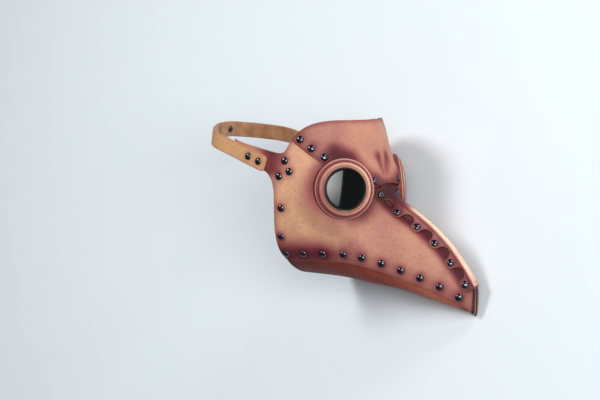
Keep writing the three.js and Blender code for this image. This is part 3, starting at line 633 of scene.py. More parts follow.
# %% [markdown]
# ## One way to make every piece of leather
# A piece starts as its outline. Rows of points follow the outline closely, where the cut edge is
# rounded over, and an even grid fills the rest. A Delaunay triangulation joins them, which keeps the
# outline exact and the triangles even, and a grid of quads can't do both. Each point then gets a top
# and a bottom, with the leather's thickness between them, so the piece is a closed body.

# %% Outlines
DENSE_STEP = 0.5
EDGE_STEP = 1.0
AT_ONCE = 4000


def closed_evenly(loop, step):
    """A closed row of points with an even step."""
    ring = np.concatenate([loop, loop[:1]])
    length = np.linalg.norm(np.diff(ring, axis=0), axis=1).sum()
    return evenly(ring, max(int(length / step), 8) + 1)[:-1]


def cut_line(sheet, ab, corner):
    """A closed outline in (a, b), its corners rounded over about the given number of millimetres."""
    flat = closed_evenly(sheet.to_flat(np.asarray(ab, float)), DENSE_STEP)
    for _ in range(int(2 * (corner / DENSE_STEP) ** 2)):
        flat = (np.roll(flat, 1, axis=0) + 2 * flat + np.roll(flat, -1, axis=0)) / 4
    return flat


def inside(points, loops):
    """Which flat points lie inside the first loop and outside the others."""
    odd = np.zeros(len(points), bool)
    for loop in loops:
        x0, y0 = loop.T
        x1, y1 = np.roll(loop, -1, axis=0).T
        for start in range(0, len(points), AT_ONCE):
            px, py = points[start:start + AT_ONCE].T[:, :, None]
            crosses = (y0 > py) != (y1 > py)
            with np.errstate(divide="ignore", invalid="ignore"):
                at = (x1 - x0) * (py - y0) / (y1 - y0) + x0
            odd[start:start + AT_ONCE] ^= (np.sum(crosses & (px < at), axis=1) % 2).astype(bool)
    return odd


# %% [markdown]
# ### The net of triangles
# Rows of points run along every cut edge, closer together towards it, and rings of points stand round
# every rivet, because those are the places where the leather bends. An even grid of triangles fills
# the rest. The rows are worked out on the flat pattern, and distances are measured on the form.

# %% Points and triangles
EDGE_ROWS = (0.12, 0.4, 0.9, 1.5, 2.2, 3.2, 4.4)
RIVET_ROWS = (3.6, 4.4, 5.1, 5.8, 6.6, 7.6, 9.0)
RIVET_STEP = 1.1
GRID_STEP = 1.9
FINE_STEP = 0.3
WHOLE_ROWS = 3
ROW_KEPT = 0.94
ROW_GAP = 0.4
RIVET_GAP = 0.6
GRID_GAP = 0.62


def tree_of(points):
    """A search tree over points, flat or in space."""
    tree = KDTree(len(points))
    for k, p in enumerate(points):
        tree.insert(Vector((*p, 0)) if len(p) == 2 else p, k)
    tree.balance()
    return tree


def nearest(tree, points):
    """Distances from points to the nearest one in a tree."""
    flat = points.shape[1] == 2
    return np.array([tree.find(Vector((*p, 0)) if flat else p)[2] for p in points])


Net = namedtuple("Net", "ab point normal edge triangles rim")


def net(sheet, loops, marks=(), step=GRID_STEP):
    """Points over a piece, with their distance from the cut edge and the triangles between them."""
    loops = [closed_evenly(loop, EDGE_STEP) for loop in loops]
    fine = np.concatenate([closed_evenly(loop, FINE_STEP) for loop in loops])
    cut = tree_of(sheet.point(sheet.from_flat(fine)))

    def from_edge(flat):
        return nearest(cut, sheet.point(sheet.from_flat(flat)))

    rim = np.concatenate(loops)
    rows = [rim]
    tangent = np.concatenate([np.roll(loop, -1, axis=0) - np.roll(loop, 1, axis=0) for loop in loops])
    sideways = unit(np.stack([-tangent[:, 1], tangent[:, 0]], axis=1))
    sideways *= np.where(inside(rim + sideways * 0.05, loops), 1, -1)[:, None]
    reach = from_edge(rim + sideways) + TINY
    kept = tree_of(rim)
    for k, distance in enumerate(EDGE_ROWS):
        every = 1 if distance < 3 else 2
        row = (rim + sideways * (distance / reach)[:, None])[::every]
        row = row[inside(row, loops)]
        row = row[from_edge(row) > distance * ROW_KEPT]
        if k >= WHOLE_ROWS:
            row = row[nearest(kept, row) > ROW_GAP]
        rows.append(row)
        kept = tree_of(np.concatenate(rows))
    for mark in sheet.to_flat(np.asarray(marks, float)) if len(marks) else []:
        for k, radius in enumerate(RIVET_ROWS):
            count = int(2 * math.pi * radius / RIVET_STEP)
            turns = np.linspace(0, 2 * math.pi, count, endpoint=False) + k
            row = mark + radius * np.stack([np.cos(turns), np.sin(turns)], axis=1)
            row = row[inside(row, loops)]
            rows.append(row[nearest(kept, row) > RIVET_GAP])
        kept = tree_of(np.concatenate(rows))
    low, high = rim.min(axis=0), rim.max(axis=0)
    across = np.arange(low[1], high[1], step * math.sqrt(3) / 2)
    starts = low[0] + step / 2 * (np.arange(len(across)) % 2)
    fill = np.concatenate([[(x, y) for x in np.arange(start, high[0], step)]
                           for start, y in zip(starts, across)])
    fill = fill[inside(fill, loops)]
    fill = fill[nearest(kept, fill) > step * GRID_GAP]
    rows.append(fill)
    flat = np.concatenate(rows)
    edges, start = [], 0
    for loop in loops:
        ring = start + np.arange(len(loop))
        edges += np.stack([ring, np.roll(ring, -1)], axis=1).tolist()
        start += len(loop)
    corners, _, faces, origins, _, _ = delaunay_2d_cdt([Vector(p) for p in flat], edges, [], 0, 1e-5)
    flat = np.array([tuple(p) for p in corners])
    triangles = np.array(faces)
    triangles = triangles[inside(flat[triangles].mean(axis=1), loops)]
    on_rim = np.array([any(k < len(rim) for k in origin) for origin in origins])
    ab = sheet.from_flat(flat)
    point, _, _, normal = surface_at(sheet, ab)
    edge = np.where(on_rim, 0, nearest(cut, point))
    return Net(ab, point, outward(sheet, ab, normal), edge, triangles, on_rim)


# %% [markdown]
# ### From a net to a body
# The net's points go up and down by half the leather's thickness, less and less towards the cut edge,
# which rounds it over. Relief is added to the top only, since a cap pulls the grain side down and
# leaves the flesh side even. How far each point is from the edge, and how much dye it has taken up,
# are stored on the points for the material.

# %% From a net to a body
EDGE_ROUND = 0.9
RELIEF_FADE = 0.4
EDGE_FACE = 0.3
WAVES = 6
WAVE_SIZES = (0.7, 1.5)
STAIN_GAIN = 0.75
DIMPLE_REACH = 1.7


def waves(points, size, seed):
    """Slow bumps between about -1 and 1, a little different everywhere."""
    turn = np.random.default_rng(seed)
    total = np.zeros(len(points))
    for _ in range(WAVES):
        way = unit(turn.normal(size=3)) * 2 * math.pi / (size * turn.uniform(*WAVE_SIZES))
        total += np.sin(points @ way + turn.uniform(0, 6.28))
    return total / (WAVES / 2)


def new_object(name, points, faces):
    """A mesh object from points of the worn mask in millimetres."""
    mesh = bpy.data.meshes.new(name)
    mesh.from_pydata(laid(points).tolist(), [], faces)
    mesh.validate()
    mesh.polygons.foreach_set("use_smooth", [True] * len(mesh.polygons))
    thing = bpy.data.objects.new(name, mesh)
    bpy.context.collection.objects.link(thing)
    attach(thing, "root")
    return thing


def store(thing, name, values):
    """Keeps a number on each point. Stain soaks in less and less as the leather fills up with dye."""
    if name == "stain":
        values = np.tanh(STAIN_GAIN * np.maximum(values, 0))
    layer = thing.data.attributes.new(name, "FLOAT", "POINT")
    layer.data.foreach_set("value", np.asarray(values, np.float32))


def leather(name, n, lie, relief, finishes, mirrored=False, **marks):
    """A closed piece from the net n: its inside lies at lie over the form, relief shapes its top."""
    round_over = np.sqrt(1 - (1 - np.minimum(n.edge / EDGE_ROUND, 1)) ** 2)
    half = 0.5 * LEATHER * round_over
    middle = lie + 0.5 * LEATHER
    top = n.point + n.normal * (middle + half + relief * np.minimum(n.edge / RELIEF_FADE, 1))[:, None]
    bottom = n.point + n.normal * (middle - half)[:, None]
    under = np.flatnonzero(~n.rim)
    below = np.arange(len(n.ab))
    below[under] = len(n.ab) + np.arange(len(under))
    points = np.concatenate([top, bottom[under]])
    a, b, c = n.point[n.triangles].transpose(1, 0, 2)
    facing = np.einsum("nc,nc->n", np.cross(b - a, c - a), n.normal[n.triangles[:, 0]])
    up = np.where((facing < 0)[:, None], n.triangles[:, ::-1], n.triangles)
    faces = np.concatenate([up, below[up][:, ::-1]])
    if mirrored:
        points = points * MIRROR
        faces = faces[:, ::-1]
    thing = new_object(name, points, faces.tolist())
    store(thing, "edge", np.concatenate([n.edge, -n.edge[under]]))
    for mark, values in marks.items():
        store(thing, mark, np.concatenate([values, values[under]]))
    for finish in finishes:
        thing.data.materials.append(finish)
    slots = np.zeros(len(faces), np.int32)
    slots[len(up):] = np.min(n.edge[n.triangles], axis=1) > EDGE_FACE
    thing.data.polygons.foreach_set("material_index", slots)
    print(name, len(faces), "triangles")
    return thing


def faded(distance, reach):
    """1 at no distance, a third at the reach and soon nothing, as dye fades away from where it is laid."""
    return np.exp(-(distance / reach) ** 2)


def near(points, centres, reach):
    """1 at any of the centres, faded over the reach round it."""
    return faded(nearest(tree_of(np.atleast_2d(centres)), points), reach)


def face_of(n, height):
    """Where the outer face of a piece lies, its inside being at the given height over the form."""
    return n.point + n.normal * (np.asarray(height) + LEATHER)[..., None]


def to_right(points):
    """Points of either side as points of the right side."""
    return np.where(points[:, 1:2] > 0, points * MIRROR, points)


def dimple(points, feet, depth=0.45):
    """Leather pulled down by the caps of rivets."""
    away = nearest(tree_of(np.atleast_2d(feet)), points)
    return -depth * faded(np.maximum(away - RIVET_RADIUS, 0), DIMPLE_REACH)


# %% [markdown]
# ## Side panels
# Each side is one piece: the cheek, the arm that the strap is riveted to, and the side of the beak,
# with a round hole for the eye. Its outline is drawn in the side view, as on a paper pattern, and
# found on the form. The left one is the right one turned over, so it costs no second pattern.

# %% The side panels' outline
ARM_TOP = [(-64, 64), (-46, 58.7), (-20, 53.4), (8, 48), (13, 48), (17, 51)]
UNDER_BROW = [(23, 63), (30.5, 72), (50, 57.5), (69, 45)]
PANEL_TOP_T = 5.6
SEAM_Q = 0.012
PANEL_EDGE = [(231, -136.5), (210, -123.5), (183, -110), (148, -97), (120, -88.3),
              (88, -81.5), (49, -79.7), (22, -81), (13, -81.5)]
CHEEK_BACK = [(4, -78.5), (0.8, -70), (0.3, -52), (3, -17), (3, 4), (-1, 17),
              (-9, 25.5), (-40, 34.5), (-66, 44), (-69, 47), (-69, 60)]
TIP_T = LAST - 0.02
EYE_HOLE_RADIUS = 25.8
BROW_UNDER_RING = 29

eye_across = unit(np.array([-eye_normal[1], eye_normal[0], 0]))
eye_rise = -np.cross(eye_across, eye_normal)
eye_rise = eye_rise * np.sign(eye_rise[2])


def on_eye_plane(radius, degrees):
    """Places round the eye at the given angles, from towards the nose and on upwards."""
    turn = np.radians(np.atleast_1d(degrees))[:, None]
    return EYE_CENTRE + radius * (np.cos(turn) * eye_across + np.sin(turn) * eye_rise)


side_edge = located(spline(PANEL_EDGE, 120))
seam = np.stack([np.linspace(PANEL_TOP_T, TIP_T, 80), np.full(80, SEAM_Q)], axis=1)
side_outline = np.concatenate([located(spline(ARM_TOP, 60)), located(UNDER_BROW), seam, side_edge,
                               located(spline(CHEEK_BACK, 120))])
eye_hole = located(on_eye_plane(EYE_HOLE_RADIUS, np.arange(0, 360, 3))[:, [0, 2]])
arm_root = located(ARM_ROOT_RIVETS)
side_marks = np.concatenate([RIVET_PLACES["cheek_rivet"], RIVET_PLACES["jaw_rivet"], arm_root])
side_net = net(crown_sheet, [cut_line(crown_sheet, on_right(side_outline), 1.2),
                             cut_line(crown_sheet, on_right(eye_hole), 0.1)], on_right(side_marks))
print("side panel:", len(side_net.ab), "points,", len(side_net.triangles), "triangles")

# %% [markdown]
# ### How the sides are dyed and shaded
# Dye gathers where the cloth is stopped: in a line along the jaw's rivets and at the root of the arm.
# Round the raised ring and in the strip's hollows the leather is darkened with painted shade. Each of
# these is a distance from a line or a point, faded over some millimetres, and the stain is their sum.
# How strong it is along the jaw and round the eye is read from short rows of numbers, as the dye and
# the painted shade are laid on more thickly in places.

# %% Stain and painted shade of the side panels
SIDE_WAVES = (0.2, 34, 1)
JAW_STAIN = [(0, 0.9), (8, 1.1), (30, 1.05), (55, 1.0), (74, 0.28), (110, 0.1), (200, 0.16)]
JAW_SPREAD = [(0, 13.5), (50, 12), (100, 8), (240, 6.5)]
JAW_FALL = 1.6
EYE_PAINTED_SHADE = [(-180, 0.5), (-135, 0.2), (-90, 0.08), (-45, 0.9), (0, 0.5), (90, 0.2), (135, 0.5),
             (180, 0.5)]
EYE_PAINTED_SHADE_FROM = 34
EYE_SPREAD = 9.5
HOLLOW_RUNS = np.linspace(-4, 168, 173)
HOLLOW_INSIDE = 1.5
HOLLOW_PAINTED_SHADE = [(1.45, 6.3), (0.05, 28)]
ARM_ROOT = (-1, 13)
ARM_HEIGHT = (17, 12)


def read_off(pairs, x):
    """The value at x of a row of (x, value) pairs, straight between them."""
    return np.interp(x, *np.transpose(pairs))


def eye_polar(points):
    """How far points lie from the eye's axis, and at what angle round it in degrees."""
    round_eye = points - EYE_CENTRE
    away = np.linalg.norm(round_eye - (round_eye @ eye_normal)[:, None] * eye_normal, axis=1)
    return away, np.degrees(np.arctan2(round_eye @ eye_rise, round_eye @ eye_across))


marked_feet = right_point(*side_marks.T)
at = side_net.point
side_relief = dimple(at, marked_feet) + SIDE_WAVES[0] * waves(at, *SIDE_WAVES[1:])
jaw_line = right_point(*located(spline(JAW_ROW, 80)).T)
from_jaw = nearest(tree_of(jaw_line), at) / read_off(JAW_SPREAD, at[:, 0])
jaw_shade = read_off(JAW_STAIN, at[:, 0]) * np.exp(-from_jaw ** JAW_FALL)
eye_away, eye_turn = eye_polar(at)
# Painted shade round the raised ring, stronger at some angles round it.
eye_painted_shade = read_off(EYE_PAINTED_SHADE, eye_turn) * faded(np.maximum(eye_away - EYE_PAINTED_SHADE_FROM, 0), EYE_SPREAD)
# Painted shade on the side panel in the strip's hollows.
hollow_line = across_ridge(HOLLOW_RUNS, rivet_offset(HOLLOW_RUNS) - HOLLOW_INSIDE)
from_hollow = nearest(tree_of(right_point(*hollow_line.T)), at)
hollow_painted_shade = sum(depth * faded(from_hollow, reach) for depth, reach in HOLLOW_PAINTED_SHADE)
tip_shade = smooth((at[:, 0] - 196) / 36)
arm_shade = faded(at[:, 0] - ARM_ROOT[0], ARM_ROOT[1]) * smooth((at[:, 2] - ARM_HEIGHT[0]) / ARM_HEIGHT[1])
side_stain = (jaw_shade + eye_painted_shade + hollow_painted_shade + 0.36 * near(at, marked_feet, 6.5)
              + 0.2 * faded(side_net.edge, 5) + 0.12 * tip_shade + 0.78 * arm_shade + 0.05)
side_rose = (0.1 + 0.6 * smooth((at[:, 0] - 30) / 70) - 0.25 * smooth((at[:, 0] - 120) / 60)
             + 0.15 * smooth((-at[:, 2] - 40) / 30))
print("stain on the sides lies between", side_stain.min().round(2), "and", side_stain.max().round(2))

# %% Side panels
for side, over in SIDES:
    panel = leather(f"side_leather_{side}", side_net, 0.0, side_relief, (tan_cowhide, split_fibre),
                    over, stain=side_stain, rose=side_rose)
    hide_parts(f"side_panel_{side}")

# %% [markdown]
# ## The beak's strip
# The two sides meet along the ridge in a seam, and a strip covers it. Its edge is scalloped: a round
# lobe at each rivet and a hollow between them. Lobes and hollows are parts of circles, as round punches
# leave them, so one formula gives the whole edge. Over the seam the strip stands up in a welt. Its top
# is lightened with a painted highlight, and the crease at its foot is darkened with painted shade.

# %% The strip
LOBE_RADIUS = 6.8
HOLLOW_RADIUS = 8.53
HOLLOW_OUTSIDE = 1.53
STRIP_START = -14
STRIP_END = 175
TOUCHING = LEATHER + 0.05
WELT_HALF = 3.6
WELT_RISE = 0.55
WELT_FOOT = (5.2, 0.9, 0.3)
WELT_HIGHLIGHT_FROM = (40, 25)


def strip_half_width(run):
    """Half the strip's width: a circle round each rivet, and one cut out between two rivets."""
    nearest_rivet = np.maximum(np.round((run - FIRST_STRIP_RIVET) / STRIP_PITCH), 0)
    half = STRIP_PITCH / 2
    aside = np.minimum(np.abs(run - FIRST_STRIP_RIVET - nearest_rivet * STRIP_PITCH), half)
    lobe = np.sqrt(np.maximum(LOBE_RADIUS**2 - aside**2, 0))
    hollow = HOLLOW_OUTSIDE - np.sqrt(np.maximum(HOLLOW_RADIUS**2 - (half - aside) ** 2, 0))
    return rivet_offset(run) + np.where(aside < half - HOLLOW_RADIUS, lobe, hollow)


def both_sides(tu):
    """A closed outline over the ridge from the points of its right side, [t, u]."""
    tu = np.asarray(tu, float)
    return np.concatenate([tu * [1, -1], tu[::-1][tu[::-1, 1] > 1e-6]])


def ridge_station(run):
    """The station t at a run along the ridge."""
    return np.interp(run, ridge_run, ridge_t)


runs = np.linspace(STRIP_START, STRIP_END, 760)
strip_side = across_ridge(runs, strip_half_width(runs))
strip_outline = both_sides([(ridge_station(STRIP_START), 0), *strip_side, (ridge_station(STRIP_END), 0)])
ridge_sheet = form_sheet(from_keel=False, measured_at=0.08)
strip_marks = both_sides(RIVET_PLACES["strip_rivet"])
strip_net = net(ridge_sheet, [cut_line(ridge_sheet, strip_outline, 0.8)], strip_marks, step=1.6)
strip_feet = ridge_sheet.point(strip_marks)
from_ridge = looked_up(DOWN, strip_net.ab[:, 0], np.abs(strip_net.ab[:, 1]))
at_run = np.interp(strip_net.ab[:, 0], ridge_t, ridge_run)
welt = np.exp(-(from_ridge / WELT_HALF) ** 4)
welt_foot = faded(from_ridge - WELT_FOOT[0], WELT_FOOT[1])
strip_relief = dimple(strip_net.point, strip_feet) + WELT_RISE * welt - WELT_FOOT[2] * welt_foot
# Painted highlight along the top of the welt, from some way down the ridge onwards.
welt_highlight = welt * smooth((at_run - WELT_HIGHLIGHT_FROM[0]) / WELT_HIGHLIGHT_FROM[1])
# Besides dye, the strip's stain holds painted shade in the crease at the welt's foot, and less of it on
# the welt gives the painted highlight.
strip_stain = (0.17 + 0.36 * near(strip_net.point, strip_feet, 7) + 1.2 * (1 - smooth((at_run - 14) / 38))
               + 0.3 * faded(from_ridge - 5.5, 2) + 0.2 * smooth((at_run - 130) / 40)
               + 0.15 * faded(strip_net.edge, 2.2) - 0.35 * welt_highlight)
# Less rose on the welt lets its pale show as the painted highlight.
strip_rose = 0.8 - 0.75 * welt_highlight
strip = leather("strip_leather", strip_net, TOUCHING, strip_relief, (ridge_cowhide_with_highlight, split_fibre),
                stain=strip_stain, rose=strip_rose)
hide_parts("beak_strip")

# %% [markdown]
# ## The brow panel
# One piece lies over both eyes and the bridge of the nose, on top of the side panels and the strip's
# top end. Its lower edge hides under the rings. Where it climbs over the strip it is lifted smoothly.
# Two soft furrows run down to the nose, darkened with painted shade, and a smudge of dye lies over each
# eye. Painted shade also lies round the rings and over the front of the brow.

# %% The brow
BROW_BRIDGE_RUN = 2
BROW_TOP = [(33.5, 75), (39.5, 79.2), (47, 82.6), (54, 84.6)]
BROW_LEVEL_T = (2.65, 4.17)
BRIDGE_RAISE_T = (5, 5.33)
BRIDGE_RAISE_U = (0.17, 0.22)
HALVINGS = 24
FURROW = [(103.6, -9.2, 45.5), (106.5, -7.1, 37.1), (109.3, -2.5, 27.5)]
FURROW_REACH = 5
FURROW_DEPTH = 0.8
FURROW_LIP = (0.35, 4)
SMUDGE = [(73, -59.2, 50.3), (78.7, -53, 46.7), (85.4, -46.1, 43.1)]
SMUDGE_REACH = 9
BRIDGE = [(108, 0, 6), (106, -12, 8), (103, -22, 12)]
BROW_WAVES = (0.2, 30, 2)


def level_share(t, z):
    """The share u at which each hoop t comes down to the height z."""
    above, below = np.zeros(len(t)), np.full(len(t), 0.5)
    for _ in range(HALVINGS):
        u = (above + below) / 2
        high = right_point(t, u)[:, 2] > z
        above, below = np.where(high, u, above), np.where(high, below, u)
    return above


level_t = np.linspace(*BROW_LEVEL_T, 30)
level_u = level_share(level_t, right_point(BROW_LEVEL_T[1], 0)[0, 2])
under_ring = located(on_eye_plane(BROW_UNDER_RING, np.linspace(22, 118, 40))[:, [0, 2]])
bridge_line = across_ridge([BROW_BRIDGE_RUN, BROW_BRIDGE_RUN + 1, BROW_BRIDGE_RUN + 2], [0.01, 16, 28])
brow_outline = both_sides([*bridge_line, *under_ring, *located([BROW_EDGE_END, BROW_CORNER]),
                           *located(spline(BROW_TOP, 20)), *np.stack([level_t, level_u], axis=1)])
brow_sheet = form_sheet(from_keel=False, measured_at=0.15)
brow_marks = both_sides(np.concatenate([RIVET_PLACES["brow_rivet"], RIVET_PLACES["bridge_rivet"]]))
brow_net = net(brow_sheet, [cut_line(brow_sheet, brow_outline, 1.2)], brow_marks)
brow_t, brow_u = brow_net.ab[:, 0], np.abs(brow_net.ab[:, 1])
over_strip = (smooth((brow_t - BRIDGE_RAISE_T[0]) / (BRIDGE_RAISE_T[1] - BRIDGE_RAISE_T[0]))
              * (1 - smooth((brow_u - BRIDGE_RAISE_U[0]) / (BRIDGE_RAISE_U[1] - BRIDGE_RAISE_U[0]))))
brow_feet = brow_sheet.point(brow_marks)
brow_lie = TOUCHING * (1 + over_strip)
brow_at = to_right(face_of(brow_net, brow_lie))
furrow = near(brow_at, spline(FURROW, 30), FURROW_REACH)
furrow_lip = near(brow_at, np.array(FURROW) + [0, -6, 0], FURROW_LIP[1])
smudge = near(brow_at, spline(SMUDGE, 30), SMUDGE_REACH)
# Painted shade on the brow round the raised ring.
brow_ring_shade = faded(np.maximum(eye_polar(brow_at)[0] - 35, 0), 6.5)
brow_relief = (dimple(brow_net.point, brow_feet) + BROW_WAVES[0] * waves(brow_net.point, *BROW_WAVES[1:])
               - FURROW_DEPTH * furrow + FURROW_LIP[0] * furrow_lip)
# The brow's stain: painted shade in the furrows, round the rings and rising towards the front, and dye
# round the rivets, the smudges, the bridge and the edges.
brow_stain = (0.35 * near(brow_net.point, brow_feet, 9) + 0.85 * smudge + 0.85 * furrow
              + 0.4 * brow_ring_shade + 0.8 * near(brow_at, BRIDGE, 9) + 0.25 * faded(brow_net.edge, 4)
              + 0.04 + 0.11 * smooth((brow_at[:, 0] - 62) / 28))
brow_rose = 1.0 - 0.85 * smooth((brow_at[:, 0] - 66) / 26)
brow = leather("brow_leather", brow_net, brow_lie, brow_relief, (tan_cowhide, split_fibre),
               stain=brow_stain, rose=brow_rose)
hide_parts("brow_panel")

# %% [markdown]
# ## The underside
# A darker piece closes the mask under the jaw and the beak. It lies inside the side panels' lower
# edges and is held by the long row of jaw rivets. It is browner towards the tip, where less dye is
# rubbed in.

# %% The underside
UNDERSIDE_LAP = 18
UNDERSIDE_BACK = [(1.3, 0), (1.28, 0.05), (1.22, 0.14), (1.17, 0.24)]
UNDERSIDE_T = (1.12, 8.75)
UNDERSIDE_STEP = 2.2
UNDERSIDE_WAVES = (0.2, 40, 3)

edge_order = np.argsort(side_edge[:, 0])
below_t = np.linspace(*UNDERSIDE_T, 90)
edge_u = np.interp(below_t, side_edge[edge_order, 0], side_edge[edge_order, 1])
lap_run = looked_up(DOWN, below_t, edge_u) - UNDERSIDE_LAP
lap_u = looked_up(UNDO, below_t, lap_run / looked_up(DOWN, below_t, 1.0))
underside_outline = both_sides([*UNDERSIDE_BACK, *np.stack([below_t, 1 - lap_u], axis=1),
                                (UNDERSIDE_T[1], 0)])
underside_net = net(keel_sheet, [cut_line(keel_sheet, underside_outline, 1.2)],
                    step=UNDERSIDE_STEP)
below_at = underside_net.point
underside_relief = UNDERSIDE_WAVES[0] * waves(below_at, *UNDERSIDE_WAVES[1:])
underside_stain = 0.4 * faded(underside_net.edge, 6) + 0.35 * (1 - smooth(below_at[:, 0] / 130))
underside_rose = 0.85 * (1 - smooth((below_at[:, 0] - 120) / 70))
underside = leather("underside_leather", underside_net, -TOUCHING, underside_relief,
                    (dark_cowhide, dark_fibre), stain=underside_stain, rose=underside_rose)
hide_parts("underside_panel")

# %% [markdown]
# ## Turned parts
# Rivet caps, lenses and their black tubes are round, so they are turned: a profile is swept round an
# axis, as on a lathe. The profile may change with the angle, which lets the stitched leather rings
# meet the uneven leather under them all the way round.

# %% Turning a profile
def frame_on(origin, axis):
    """An origin and three directions, the last one the axis."""
    axis = unit(np.asarray(axis, float))
    side = unit(np.cross([0.0, 0, 1] if abs(axis[2]) < 0.9 else [1.0, 0, 0], axis))
    return np.asarray(origin, float), np.stack([side, np.cross(axis, side), axis])


def turned(name, profile, stand, finish, segments=48, mirrored=False):
    """A closed body: profile rows of (radius, height), the same all round or one for each segment."""
    origin, ways = stand
    profile = np.asarray(profile, float)
    if profile.ndim == 2:
        profile = np.broadcast_to(profile, (segments, *profile.shape))
    segments, count = profile.shape[:2]
    turn = np.linspace(0, 2 * math.pi, segments, endpoint=False)[:, None]
    r, z = profile[..., 0], profile[..., 1]
    local = np.stack([r * np.cos(turn), r * np.sin(turn), z], axis=2)
    points = (origin + local @ ways).reshape(-1, 3)
    on_axis = profile[0, :, 0] < TINY
    index = np.arange(segments * count).reshape(segments, count)
    index[:, on_axis] = index[0, on_axis]
    faces = []
    loop = not on_axis.any()
    for k in range(count if loop else count - 1):
        a, b = index[:, k], index[:, (k + 1) % count]
        a2, b2 = np.roll(a, -1), np.roll(b, -1)
        for quad in zip(a, a2, b2, b):
            face = list(dict.fromkeys(int(corner) for corner in quad))
            if len(face) > 2:
                faces.append(face)
    if mirrored:
        points = points * MIRROR
        faces = [face[::-1] for face in faces]
    used = np.unique(np.concatenate([np.array(face) for face in faces]))
    new_index = np.zeros(len(points), int)
    new_index[used] = np.arange(len(used))
    thing = new_object(name, points[used], [new_index[face].tolist() for face in faces])
    thing.data.materials.append(finish)
    return thing


# %% [markdown]
# ### Finding the leather's top
# Rings and rivets stand on leather that is dimpled and lies in up to three layers. A ray sent down
# from above finds the top layer at any place, so nothing floats and nothing is buried.

# %% Where the leather's top is
def top_of(pieces, origins, way, reach=20):
    """How far along -way from each origin the first of the pieces is met, in millimetres."""
    found = []
    ray = Vector(-(TURN @ way))
    for origin in origins:
        hits = [piece.ray_cast(Vector(laid(origin)), ray) for piece in pieces]
        spans = [(hit[1] - Vector(laid(origin))).length * 1000 for hit in hits if hit[0]]
        found.append(min(spans) if spans else reach)
    return np.array(found)


# %% [markdown]
# ## Rings
# Each eye has a ring of moulded leather with a raised band between two rows of stitches. The ring's
# outer lip comes down to whatever leather is under it, which a ray finds for every angle. Dye stays in
# its two grooves, and its lower side away from the nose is darker and rosier with painted shade.

# %% Rings
RING_RADIUS = 36
RING_SEAT = LEATHER + 2 * PART_GAP + RING_RADIUS * math.tan(math.radians(RING_TILT))
RING_SEGMENTS = 216
RING_TOP_ROWS = 60
RING_OUTSIDE = 36.25
RAY_HEIGHT = 12.0
FOOT_ROUNDS = 3
SHADED_SIDE_FROM = math.radians(35)
NO_CUT_EDGE = 9.0
ring_normal = direction(EYE_AZIMUTH, PANEL_EYE_ELEVATION - RING_TILT)
ring_stand = frame_on(EYE_CENTRE + eye_normal * RING_SEAT, ring_normal)
RING_TOP = [(36.1, 2.0), (35.6, 3.0), (34.6, 3.5), (33.6, 3.65), (33.0, 3.7), (32.5, 4.1), (31.6, 5.5),
            (30.4, 6.8), (29.2, 7.15), (28.2, 6.95), (27.5, 6.8), (27.0, 7.3), (26.4, 7.95),
            (25.85, 7.8), (25.65, 7.2), (25.65, 5.2)]
right_panel = bpy.data.objects["side_leather_right"]


def on_ring(radius, turn, height):
    """Places on the ring's frame."""
    origin, ways = ring_stand
    turn = np.atleast_1d(turn)
    local = np.stack([radius * np.cos(turn), radius * np.sin(turn), np.full(len(turn), height)], axis=1)
    return origin + local @ ways


turns = np.linspace(0, 2 * math.pi, RING_SEGMENTS, endpoint=False)
drop = top_of([right_panel, brow], on_ring(RING_RADIUS + 0.4, turns, RAY_HEIGHT), ring_stand[1][2])
foot = RAY_HEIGHT - drop
for _ in range(FOOT_ROUNDS):
    foot = (np.roll(foot, 1) + 2 * foot + np.roll(foot, -1)) / 4
print("ring's foot lies between", foot.min().round(1), "and", foot.max().round(1), "mm")
ring_top = spline(RING_TOP, RING_TOP_ROWS)
ring_profile = []
for z in foot:
    wall = np.stack([np.full(6, RING_OUTSIDE), np.linspace(z - 0.3, 1.2, 6)], axis=1)
    under = np.array([(26.5, 3.4), (31.5, min(z, 0) - 0.2)])
    ring_profile.append(np.concatenate([under, wall, ring_top]))
for side, over in SIDES:
    ring = turned(f"eye_ring_leather_{side}", np.array(ring_profile), ring_stand, ring_cowhide,
                  mirrored=over)
    points = np.array([corner.co for corner in ring.data.vertices]) * 1000
    flat = (points - SHIFT) @ TURN * (MIRROR if over else 1) - ring_stand[0]
    away = np.linalg.norm(flat - (flat @ ring_normal)[:, None] * ring_normal, axis=1)
    grooves = faded(away - 33, 1.3) + 0.5 * faded(away - 27.4, 0.8)
    ring_turn = np.arctan2(flat @ eye_rise, flat @ eye_across)
    # Painted shade: the ring's lower side away from the nose is darker and rosier.
    shaded_side = 0.5 - 0.5 * np.cos(ring_turn - SHADED_SIDE_FROM)
    store(ring, "edge", np.full(len(points), NO_CUT_EDGE))
    store(ring, "stain", 0.8 * grooves + 0.14 * shaded_side + 0.03 + 0.6 * (away > 35.9))
    store(ring, "rose", 0.3 + 0.6 * shaded_side)
    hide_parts(f"eye_ring_{side}")

# %% [markdown]
# ## Lens tubes and lenses
# A black tube sits in each ring and holds the lens. The lens is a little domed, and that is what
# squeezes a whole studio lamp into one bright patch on it.

